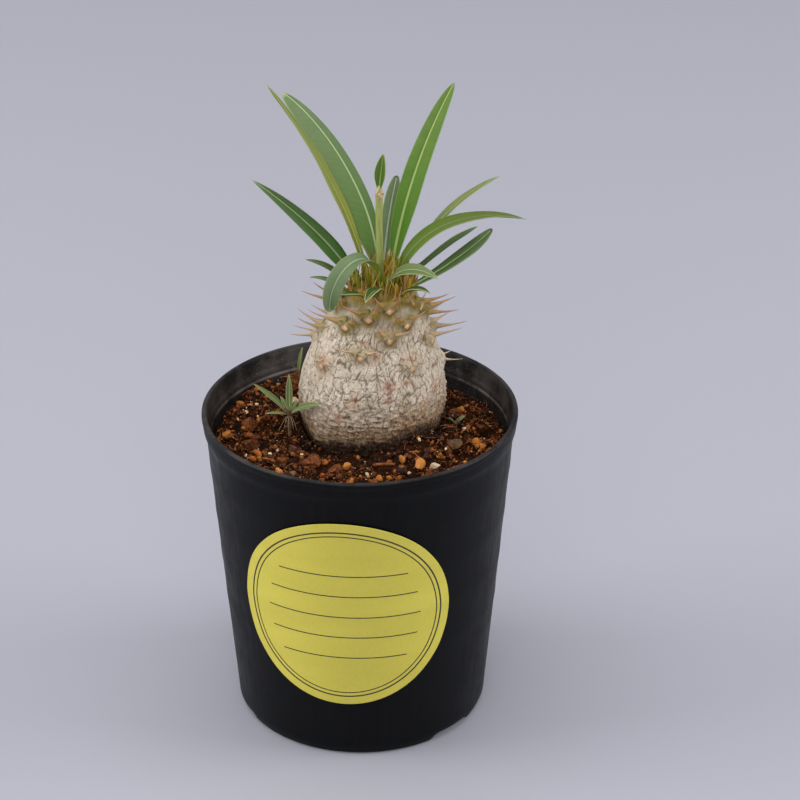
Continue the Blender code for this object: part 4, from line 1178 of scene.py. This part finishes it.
for _, seat, (*heading, length, width), course, _ in LEAVES.values():
    base, out, *_ = knob_frame(*seat)
    leaf_line = blade_frame(base + out * PETIOLE_CLEAR, *heading, length, **course)[1]
    count = max(6, int(BLADE_STATIONS * (1.6 + 0.07 * length) / length))
    line = np.vstack([base - out * 1.0, leaf_line[:count]])
    line = line[np.linspace(0, len(line) - 1, FOOT_RINGS).astype(int)]
    add_foot(line, 0.55 + 0.13 * width, 0.3 + 0.05 * width, FRESH_FOOT_TONE)
for step in range(OLD_FEET):
    base, out, side, _ = knob_frame((GOLDEN_ANGLE * step + 70) % 360, 130.4 - 0.09 * step)
    lean = out * chance.uniform(0.1, 0.75) + side * chance.uniform(-0.25, 0.25) + (0.0, 0.0, 0.9)
    end = base + lean * chance.uniform(2.4, 5.4)
    line = bent_line(base - out * 1.8 - (0.0, 0.0, 0.6), base + out * 0.7 + (0.0, 0.0, 0.8), end, FOOT_RINGS)
    add_foot(line, chance.uniform(0.8, 1.25), chance.uniform(0.2, 0.4), chance.uniform(0.0, 1.0))

foot_skin = Finish("foot_skin", 0.5, 0.18)
foot_cloud = foot_skin.cloud(0.5, 4.0, 0.6, (1.0, 1.0, 0.3))
golden = foot_skin.blend((0.33, 0.145, 0.008), (0.34, 0.205, 0.015), "along", 0.2, 0.9)
foot_green = foot_skin.blend((0.13, 0.125, 0.006), (0.115, 0.165, 0.010), "along", 0.2, 0.9)
foot_skin.base(foot_green, golden, "tone", 0.3, 0.55)
foot_skin.lay((0.30, 0.14, 0.014), foot_cloud, 0.5, 0.72, 0.0, 0.75)
foot_skin.lay((0.06, 0.04, 0.008), foot_cloud, 0.25, 0.42, 0.6, 0.0)
foot_skin.coat((foot_cloud, 0.3, 0.7, 0.42, 0.62), (foot_cloud, 0.08))
make_piece("crown_feet", gathered(feet), foot_skin)

# %% Needles at the crown
LOOSE_NEEDLES = 30

needles = []
for _, seat, *_ in LEAVES.values():
    base, out, side, up = knob_frame(*seat)
    for hand in (-1, 1):
        lean = unit(out * 0.5 + side * hand * chance.uniform(0.3, 0.7) + up * 0.4 + (0.0, 0.0, 0.7))
        start = base + side * hand * 0.9 - out * 0.2
        length = chance.uniform(5.0, 9.0)
        middle = start + lean * 0.5 * length
        needles.append(horn(start, middle, middle + (lean + up * 0.25) * 0.5 * length, 0.3, 0.12, 0.3))
for step in range(LOOSE_NEEDLES):
    base, out, side, _ = knob_frame((GOLDEN_ANGLE * step + 15) % 360, chance.uniform(127.0, 130.5))
    lean = unit(out * chance.uniform(0.1, 0.6) + side * chance.uniform(-0.45, 0.45) + (0.0, 0.0, 0.8))
    length = chance.uniform(2.5, 7.5)
    middle = base + lean * 0.5 * length
    needles.append(horn(base - out * 0.4, middle, middle + lean * 0.55 * length, 0.3, 0.1,
                        chance.uniform(0.0, 1.0)))
amber = Finish("amber_needle", 0.42, 0.22)
needle_ripple = amber.cloud(0.5)
amber.base((0.17, 0.14, 0.008), (0.34, 0.19, 0.020), "along", 0.0, 0.45)
amber.lay((0.48, 0.32, 0.12), "along", 0.45, 0.85)
amber.lay((0.17, 0.17, 0.018), "age", 0.0, 1.0, 0.0, 0.6)
amber.lay((0.10, 0.04, 0.012), needle_ripple, 0.55, 0.7, 0.0, 0.5)
amber.coat((needle_ripple, 0.3, 0.7, 0.36, 0.5), (needle_ripple, 0.02))
make_piece("crown_needles", gathered(needles), amber)

# %% [markdown]
# ## The flower stalk
#
# In the heart of the tuft stands the stalk of a spent flower, a round olive stem with a knobbly
# pinkish node and one small bract. Its section is swept upwards while the radius swells and
# shrinks, with a slight wander so that it doesn't look turned on a lathe.

# %% Raise the stalk with its node
STALK_PLACE = (5.8, 9.4)
STALK_FOOT = 131.2
STALK_NODE = 156.6
STALK_TOP = 158.7
STALK_RINGS = 90
STALK_SIDES = 36

heights = np.linspace(STALK_FOOT - 0.6, STALK_TOP, STALK_RINGS)


def at_node(reach):
    """For each height 1 at the node, and down to 0 above and below it."""
    return np.exp(-((heights - STALK_NODE) / reach) ** 2)


stalk_radius = 1.0 + 0.3 * at_node(1.4) + 0.25 * np.exp(-(heights - STALK_FOOT) / 1.2)
stalk_radius[-10:] *= np.sqrt(np.linspace(1.0, 0.08, 10))
wander = 0.12 * np.sin(heights / 5.0)[:, None]
turn = turns(STALK_SIDES)
knobs = 1 + 0.17 * at_node(1.6)[:, None] * np.sin(3 * turn + 2.3 * heights[:, None])
reach = stalk_radius[:, None] * knobs
stalk_rings = np.stack([STALK_PLACE[0] + wander + reach * np.cos(turn),
                        STALK_PLACE[1] + reach * np.sin(turn), heights[:, None] + 0 * reach], -1)
node_share = at_node(1.5)
node_values = np.append(np.repeat(node_share, STALK_SIDES), (node_share[0], node_share[-1]))
stalk_skin = Finish("stalk_skin", 0.5, 0.35)
grooves = stalk_skin.cloud(0.5, stretch=(1.0, 1.0, 0.12))
spots = stalk_skin.cloud(0.7, 3.0, 0.6)
stalk_skin.base((0.215, 0.25, 0.045), (0.29, 0.325, 0.115), grooves, 0.35, 0.7)
stalk_skin.lay(stalk_skin.blend((0.40, 0.30, 0.17), (0.13, 0.03, 0.02), spots, 0.5, 0.62), "node")
stalk_skin.coat((spots, 0.3, 0.7, 0.42, 0.6), (spots, 0.1), (grooves, 0.08))
stalk_shape = (*sleeve(stalk_rings), {"node": node_values})
make_piece("stalk_stem", stalk_shape, stalk_skin, "flower_stalk")

# %% Add the bract
bract_finish = leaf_finish("leaf_bract", (0.032, 0.078, 0.004), (0.048, 0.108, 0.008), (0.14, 0.20, 0.03),
                           (0.14, 0.20, 0.035), (0.065, 0.10, 0.018), (0.18, 0.15, 0.05), (0.30, 0.33, 0.09))
bract = leaf_blade((*STALK_PLACE, 157.5), 60, 80, -8, 10.2, 3.4, widest=0.45, fold=20, stations=50,
                   petiole=0.5)
make_piece("stalk_bract", bract, bract_finish)

# %% [markdown]
# ## Small plants in the soil
#
# Three seedlings come up beside the stem. They are made like the big leaves, only smaller: a thin
# stem, a few narrow blades and some brown scales at the heart. The left one shows pale hair roots.

# %% Grow the three seedlings
# Node; place; height of the head; radius of the stem; scales at its heart; and the leaves by
# facing, rise, bend, length, width and roll.
SHOOTS = {
    "side_shoot_left": ((-20.1, 2.6), 91.5, 0.55, 26,
                        ((149, 38, -18, 13.7, 2.4, 0), (91, 69.5, -6, 11.4, 2.0, 0),
                         (188, 16, -20, 7.1, 1.6, 0), (-52.5, 42.8, -22, 17.4, 2.4, 40),
                         (58, 40, -10, 5.0, 1.8, 0), (125, 50, -20, 6.0, 1.6, 0))),
    "side_shoot_back": ((-18.0, 30.5), 89.6, 0.55, 6,
                        ((21, 83, -4, 9.1, 2.4, 0), (-70, 30, -20, 4.5, 1.6, 0))),
    "seedling_right": ((27.4, 3.8), 87.5, 0.45, 6,
                       ((25, 45, -30, 3.6, 1.6, 0), (200, 55, -20, 3.2, 1.4, 0))),
}
SHOOT_ROOT = 80.0
SHOOT_RINGS = 26
SHOOT_SIDES = 16

shoot_leaf = leaf_finish("leaf_shoot", (0.072, 0.108, 0.022), (0.098, 0.130, 0.036), (0.17, 0.20, 0.08),
                         (0.20, 0.21, 0.10), (0.10, 0.10, 0.04), (0.15, 0.08, 0.035), (0.22, 0.21, 0.12))
shoot_bark = Finish("shoot_bark", 0.7, 0.3)
shoot_cloud = shoot_bark.cloud(0.5, 4.0, 0.6, (1.0, 1.0, 0.4))
shoot_bark.base((0.17, 0.095, 0.050), (0.075, 0.030, 0.014), shoot_cloud, 0.35, 0.65)
shoot_bark.coat((shoot_cloud, 0.3, 0.7, 0.6, 0.8), (shoot_cloud, 0.08))
for name, (place, top, stem_size, scales, leaves) in SHOOTS.items():
    heights = np.linspace(SHOOT_ROOT, top + 0.3, SHOOT_RINGS)
    line = np.stack([np.full(SHOOT_RINGS, place[0]), np.full(SHOOT_RINGS, place[1]), heights], -1)
    radii = stem_size + 0.12 * np.sin(heights * 2.1)
    radii[-4:] *= (0.95, 0.8, 0.55, 0.2)
    stem_parts = [sleeve(tube(line, radii, SHOOT_SIDES))]
    for step in range(scales):
        angle = math.radians(GOLDEN_ANGLE * step)
        lean = unit(np.array((math.cos(angle), math.sin(angle), chance.uniform(0.3, 1.4))))
        start = np.array((*place, top)) + lean * 0.2 + (0.0, 0.0, chance.uniform(-1.6, 0.2))
        end = start + lean * chance.uniform(1.4, 3.0)
        stem_parts.append(horn(start, (start + end) / 2, end, 0.35, 0.1, 0.0)[:2])
    make_piece(name + "_stem", gathered(stem_parts), shoot_bark, name)
    blades = [leaf_blade((*place, top - 0.7), *sizes, roll=roll, fold=12, stations=30, petiole=0.35,
                         thickness=0.4) for *sizes, roll in leaves]
    make_piece(name + "_leaves", gathered(blades), shoot_leaf)

# %% Hang pale rootlets below the left shoot
ROOTLETS = 5
ROOTLET_RINGS = 10

rootlets = []
for step in range(ROOTLETS):
    angle = math.radians(-160 + 30 * step)
    aside = np.array((math.cos(angle), math.sin(angle), 0.0))
    start = np.array((*SHOOTS["side_shoot_left"][0], 90.4)) + aside * 0.5
    end = start + aside * chance.uniform(1.2, 3.0) - (0.0, 0.0, chance.uniform(2.0, 4.5))
    line = bent_line(start, start + aside * chance.uniform(0.2, 2.4), end, ROOTLET_RINGS)
    rootlets.append(sleeve(tube(line, np.linspace(0.1, 0.05, ROOTLET_RINGS), 6)))
root_skin = Finish("pale_root", 0.6, 0.3)
root_cloud = root_skin.cloud(0.3)
root_skin.base((0.38, 0.29, 0.18), (0.22, 0.145, 0.08), root_cloud, 0.35, 0.65)
root_skin.coat((root_cloud, 0.3, 0.7, 0.5, 0.7), (root_cloud, 0.03))
make_piece("shoot_rootlets", gathered(rootlets), root_skin)

# %% [markdown]
# ## The soil
#
# The mix is fired clay, fibre and dust. From above it reads as bright crumbs over black holes, and
# a bumpy plane would never give those deep shadows. So the bed is only the ground: thousands of
# loose crumbs of many sizes lie on it, each one a small ball pushed out of shape.

# %% The bed of the soil
SOIL_BOTTOM = 4.6
SOIL_AROUND = 320
SOIL_STEPS = 64
SIDE_STEPS = 20
STEM_GAP = 0.3
WALL_GAP = 0.42


def clumping(x, y):
    """Where the soil is clumped together (above 0) and where there are holes (below 0)."""
    flat = np.stack([x, y, 0 * x], -1)
    return 0.8 * ripples(flat, 4.2, 8.0) + 0.5 * ripples(flat, 1.9, 3.0)


def soil_edge(height):
    """Radius of the soil against the pot's inner face."""
    return wall_radius(height) - POT_WALL - WALL_GAP


def beside_stem(height):
    return on_stem(np.degrees(turns(SOIL_AROUND)), np.full(SOIL_AROUND, height), STEM_GAP)


circle = np.stack([np.cos(turns(SOIL_AROUND)), np.sin(turns(SOIL_AROUND))], -1)
rings = [np.column_stack([circle * soil_edge(height), np.full(SOIL_AROUND, height)])
         for height in np.linspace(SOIL_BOTTOM, SOIL_LEVEL - 3, SIDE_STEPS)]
for share in np.linspace(0.0, 1.0, SOIL_STEPS):
    flat = circle * soil_edge(SOIL_LEVEL) * (1 - share) + beside_stem(SOIL_LEVEL)[:, :2] * share
    rings.append(np.column_stack([flat, soil_level(*flat.T)]))
rings += [beside_stem(height) for height in np.linspace(SOIL_LEVEL - 2, 63.0, SIDE_STEPS)]
rings = np.array(rings)
soil_top = rings[SIDE_STEPS:SIDE_STEPS + SOIL_STEPS]
bumps = 1.7 * clumping(soil_top[..., 0], soil_top[..., 1]) + 0.45 * ripples(soil_top, 1.0, 4.0)
soil_top[..., 2] += bumps - 1.1
bed = sleeve(rings, (0.0, 0.0, SOIL_BOTTOM), ROOT_END)
print("the bed has", len(bed[0]), "points")

# %% Finishes of the soil
# The bed is dark soil, painted near black as shade in the holes between the crumbs.
earth = Finish("dark_earth_and_shade", 0.95, 0.08)
clods = earth.cloud(1.6, 5.0, 0.65)
dust = earth.cloud(0.35, 3.0, 0.6)
earth.base((0.0045, 0.002, 0.001), (0.046, 0.013, 0.003), clods, 0.4, 0.7)
earth.lay((0.15, 0.042, 0.008), dust, 0.57, 0.77, 0.0, 0.6)
earth.coat((dust, 0.3, 0.7, 0.88, 1.0), (clods, 0.5), (dust, 0.15))
make_piece("soil_bed", bed, earth, "soil")


def crumb_finish(name, dark, middle, light, rough=0.85, speckle=0.35, pits=0.12):
    """Three tones: each crumb's own tone moves it between them, and fine noise speckles it."""
    finish = Finish(name, rough, 0.2)
    fine, coarse = finish.cloud(0.28, 4.0, 0.7), finish.cloud(0.9, 4.0, 0.6)
    own = finish.reckon("ADD", finish.painted("tone"), finish.between(coarse, 0.3, 0.7, -0.25, 0.25))
    own = finish.reckon("ADD", own, finish.between(fine, 0.35, 0.65, -speckle, speckle))
    finish.base(dark, middle, own, 0.0, 0.5)
    finish.lay(light, own, 0.5, 1.0)
    return finish.coat((coarse, 0.35, 0.65, rough, 0.5 * rough), (coarse, 2.5 * pits), (fine, pits))


rusty = crumb_finish("rusty_crumb", (0.006, 0.002, 0.0008), (0.105, 0.025, 0.004), (0.38, 0.112, 0.015))
orange_clay = crumb_finish("orange_clay", (0.13, 0.04, 0.007), (0.29, 0.097, 0.014), (0.46, 0.175, 0.03),
                           0.6, 0.2, 0.06)
pale_grit = crumb_finish("pale_grit", (0.30, 0.17, 0.07), (0.50, 0.31, 0.145), (0.66, 0.52, 0.36),
                         0.8, 0.25, 0.06)
brown_stone = crumb_finish("brown_stone", (0.045, 0.022, 0.010), (0.15, 0.073, 0.030), (0.27, 0.150, 0.070))

# %% A crumb, and many crumbs at once
CHIPS = 7
DRAWN_PER_CRUMB = 5


def ball(detail):
    work = bmesh.new()
    bmesh.ops.create_icosphere(work, subdivisions=detail, radius=1.0)
    points = np.array([point.co[:] for point in work.verts])
    faces = np.array([[point.index for point in face.verts] for face in work.faces])
    work.free()
    return points, faces


def make_crumbs(name, centres, sizes, tones, finish, detail, chance, rough=0.28, flat=0.75, tumble=1.0):
    """A piece of many balls that are pushed out of shape, chipped, turned and scaled."""
    points, faces = ball(detail)
    count = len(centres)
    shape = np.ones((count, len(points)))
    for strength, pitch in ((rough, 1.6), (0.6 * rough, 3.3), (0.35 * rough, 6.5)):
        wave = chance.normal(size=(count, 3, 3)) * pitch
        phase = chance.uniform(0.0, 2 * math.pi, (count, 3, 1))
        shape += strength * np.sin(wave @ points.T + phase).mean(1)
    stretch = chance.uniform(0.7, 1.25, (count, 1, 3))
    stretch[..., 2] *= flat
    body = points * shape[..., None]
    # Each chip is a plane that cuts a bit of the ball off and leaves a flat there.
    for _ in range(CHIPS):
        away = unit(chance.normal(size=(count, 3)))
        over = np.maximum(np.einsum("nki,ni->nk", body, away) - chance.uniform(0.6, 0.9, (count, 1)), 0.0)
        body = body - over[..., None] * away[:, None]
    turn = np.linalg.qr(tumble * chance.normal(size=(count, 3, 3)) + np.eye(3) * 0.6)[0]
    body = np.einsum("nij,nkj->nki", turn, body * stretch) * sizes[:, None, None] + centres[:, None]
    all_faces = (faces[None] + (np.arange(count) * len(points))[:, None, None]).reshape(-1, 3)
    values = {"tone": np.repeat(tones, len(points))}
    make_piece(name, (body.reshape(-1, 3), all_faces.tolist(), values), finish)


def from_stem(x, y, axis_x):
    """How far a place on the soil lies from the stem's side."""
    return np.hypot(x - axis_x, y - CAUDEX_Y) - stem_radius(SOIL_LEVEL)


def scattered(count, smallest, largest, chance, sink=0.25):
    """Centres and sizes of loose crumbs, small ones far commoner, that gather on the clumps."""
    drawn = DRAWN_PER_CRUMB * count
    angle = chance.uniform(0.0, 2 * math.pi, drawn)
    sizes = smallest * (largest / smallest) ** (chance.uniform(0.0, 1.0, drawn) ** 2.2)
    reach = np.sqrt(chance.uniform(0.0, 1.0, drawn)) * (soil_edge(SOIL_LEVEL) - 0.2 - sizes)
    x, y = reach * np.cos(angle), reach * np.sin(angle)
    clumps = clumping(x, y)
    settled = clumps + chance.normal(0.0, 0.18, drawn) > -0.12
    stem_x = on_stem(0.0, SOIL_LEVEL)[0] - stem_radius(SOIL_LEVEL)
    keep = np.flatnonzero((from_stem(x, y, stem_x) > -0.4) & settled)[:count]
    level = soil_level(x, y) + 1.6 * clumps - 0.3 - sink + 0.35 * sizes
    return np.stack([x, y, level], -1)[keep], sizes[keep]


def stem_shade(x, y):
    """1 close to the front of the stem, where painted shade darkens the soil under its overhang, and 0 far
    from it.
    """
    return np.exp(-(np.maximum(from_stem(x, y, 3.6), 0.0) / 4.5) ** 2) * (y < 12.0)


print("a crumb of detail 2 has", len(ball(2)[0]), "points")

# %% Scatter the loose crumbs
# How many; the smallest and the largest radius; and the detail of each ball.
CRUMB_BATCHES = {
    "soil_grit": (5600, 0.12, 0.42, 1),
    "soil_crumbs_fine": (1550, 0.28, 0.9, 2),
    "soil_crumbs_coarse": (250, 0.6, 1.8, 3),
}
chance = np.random.default_rng(5)
for name, (count, smallest, largest, detail) in CRUMB_BATCHES.items():
    centres, sizes = scattered(count, smallest, largest, chance)
    # Crumbs in front of the stem are darkened as painted shade under its overhang.
    tones = chance.normal(0.42, 0.3, len(centres)) - 0.55 * stem_shade(centres[:, 0], centres[:, 1])
    make_crumbs(name, centres, sizes, np.clip(tones, 0.0, 1.0), rusty, detail, chance, rough=0.36)

# %% Place the larger lumps and granules where they lie
# X, Y and radius, then the tone from dark to light.
LUMPS = [(-14.0, -15.8, 3.3, 0.45), (-7.0, -20.6, 2.3, 0.45), (-32.0, 5.0, 2.7, 0.45),
         (-31.0, -5.5, 2.7, 0.35), (-25.5, -13.5, 1.6, 0.3), (27.5, 12.0, 2.2, 0.4),
         (19.0, -24.0, 1.8, 0.4), (35.0, 3.0, 1.9, 0.35), (-2.0, -31.0, 1.7, 0.4)]
STONES = [(26.3, -8.2, 3.0, 0.2), (-19.0, -21.5, 1.2, 0.4)]
ORANGE = [(16.8, -19.4, 1.8, 0.9), (32.9, -5.8, 2.1, 1.0), (34.8, -7.2, 1.5, 0.9),
          (29.3, 14.8, 1.6, 0.6), (-3.7, -17.2, 1.2, 0.8), (11.7, -17.4, 1.3, 0.6),
          (-38.3, 0.4, 1.9, 0.6), (-34.8, 16.9, 1.4, 0.4), (-2.6, -26.4, 1.3, 0.7),
          (5.2, -25.4, 1.4, 0.5), (8.0, -24.8, 1.1, 0.8), (-22.7, -21.0, 1.5, 0.9),
          (22.5, -14.6, 1.0, 0.5), (30.5, -17.0, 1.1, 0.4), (-28.5, -12.5, 1.0, 0.7)]
PALE = [(20.7, -19.3, 1.4, 0.8), (-18.7, 16.0, 2.1, 0.6), (-33.0, 12.0, 0.7, 0.9),
        (-29.8, 15.5, 0.6, 0.7), (-23.5, -8.1, 0.9, 0.8), (-25.5, -9.9, 0.7, 0.9),
        (29.8, 1.3, 0.8, 0.8), (-16.5, -9.5, 0.6, 0.9), (13.5, -22.5, 0.6, 0.9),
        (2.0, -22.5, 0.7, 0.8), (25.0, -20.5, 0.6, 0.7)]
GRANULES = {
    "soil_lumps": (LUMPS, rusty, 0.36, 0.7, 1.0),
    "soil_stones": (STONES, brown_stone, 0.25, 0.55, 0.1),
    "orange_granules": (ORANGE, orange_clay, 0.22, 0.7, 1.0),
    "pale_granules": (PALE, pale_grit, 0.26, 0.7, 1.0),
}
for name, (places, finish, *shape) in GRANULES.items():
    x, y, sizes, tones = np.array(places).T
    centres = np.stack([x, y, soil_level(x, y) + 0.2 * sizes], -1)
    make_crumbs(name, centres, 0.9 * sizes, tones, finish, 4, chance, *shape)

# %% Stray granules, and pale specks of grit that stand in for glints as painted highlights
STRAYS = 150
ORANGE_STRAYS = 95
GLINT_SPECKS = 420


def make_strays(name, centres, sizes, tone_range, finish, detail):
    tones = chance.uniform(*tone_range, len(sizes))
    make_crumbs(name, centres, sizes, tones, finish, detail, chance)


centres, sizes = scattered(STRAYS, 0.3, 0.95, chance, sink=-0.2)
make_strays("orange_strays", centres[:ORANGE_STRAYS], sizes[:ORANGE_STRAYS], (0.1, 0.8), orange_clay, 2)
make_strays("pale_strays", centres[ORANGE_STRAYS:], sizes[ORANGE_STRAYS:] * 0.7, (0.3, 1.0), pale_grit, 2)
# Tiny pale grains of grit, scattered to stand in for wet glints as painted highlights.
make_strays("pale_glint_specks", *scattered(GLINT_SPECKS, 0.09, 0.24, chance, sink=-0.25), (0.2, 1.0), pale_grit, 1)

# %% Lay fibres and sticks over the crumbs
FIBRES = 260
FIBRE_RINGS = 9
STICK_RINGS = 12
STICK_RADIUS = 0.42
TUFT_HEART = (-18.5, 27.0, 89.0)
TUFT_SPREAD = (1.9, 1.6, 1.0)
TUFT_FIBRES = 70
# The two ends of each stick.
STICKS = [((3.6, -19.6, 86.2), (9.7, -19.7, 86.5)), ((11.7, -16.2, 86.0), (14.3, -13.4, 87.0)),
          ((-27.5, -14.5, 85.8), (-24.0, -17.0, 86.2))]

chance = np.random.default_rng(31)
strands = []


def add_strand(line, radii, sides, tone=None):
    points, faces = sleeve(tube(line, radii, sides))
    tone = chance.uniform(0.1, 0.8) if tone is None else tone
    strands.append((points, faces, {"tone": np.full(len(points), tone)}))


fibre_places, _ = scattered(FIBRES, 0.3, 0.5, chance, sink=-0.3)
# A tuft of rusty fibre lies behind the stem, at the foot of the back shoot.
tuft = np.array(TUFT_HEART) + chance.normal(size=(TUFT_FIBRES, 3)) * TUFT_SPREAD
for place in np.vstack([fibre_places, tuft]):
    angle, length = chance.uniform(0.0, 2 * math.pi), chance.uniform(1.2, 4.2)
    lean = np.array((math.cos(angle), math.sin(angle), chance.uniform(-0.25, 0.35)))
    bow = np.array((-lean[1], lean[0], 0.3)) * chance.uniform(-0.35, 0.35)
    half = lean * length / 2
    line = bent_line(place - half, place + bow * length + (0.0, 0.0, 0.3), place + half, FIBRE_RINGS)
    spread = np.hypot(line[:, 0], line[:, 1])
    line[:, :2] *= np.minimum(1.0, (soil_edge(SOIL_LEVEL) - 0.3) / spread)[:, None]
    line[:, 2] = np.maximum(line[:, 2], SOIL_LEVEL - 0.8)
    bulge = 0.4 + 0.6 * np.sin(np.linspace(0.3, math.pi - 0.3, FIBRE_RINGS))
    add_strand(line, chance.uniform(0.06, 0.14) * bulge, 6)
for start, end in np.array(STICKS):
    line = bent_line(start, (start + end) / 2 + (0.0, 0.3, 0.35), end, STICK_RINGS)
    add_strand(line, np.full(STICK_RINGS, STICK_RADIUS), 8, tone=0.5)
fibre_finish = crumb_finish("brown_fibre", (0.04, 0.010, 0.003), (0.17, 0.045, 0.009), (0.36, 0.15, 0.045))
make_piece("soil_fibres", gathered(strands), fibre_finish)

# %% [markdown]
# ## Tie the pieces to the model
#
# Every piece belongs to one rigid thing, the potted plant. The last step measures the dressed plant
# and keeps its size beside that of the plain model underneath.

# %% Tie, measure and finish
for piece in pieces.values():
    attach(piece, "root")
final_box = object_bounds()
sizes = {"before": [list(corner) for corner in model_box], "after": [list(corner) for corner in final_box]}
print("dressed plant measures", [round(side / MM, 1) for side in final_box[1] - final_box[0]], "mm in",
      len(pieces), "pieces")
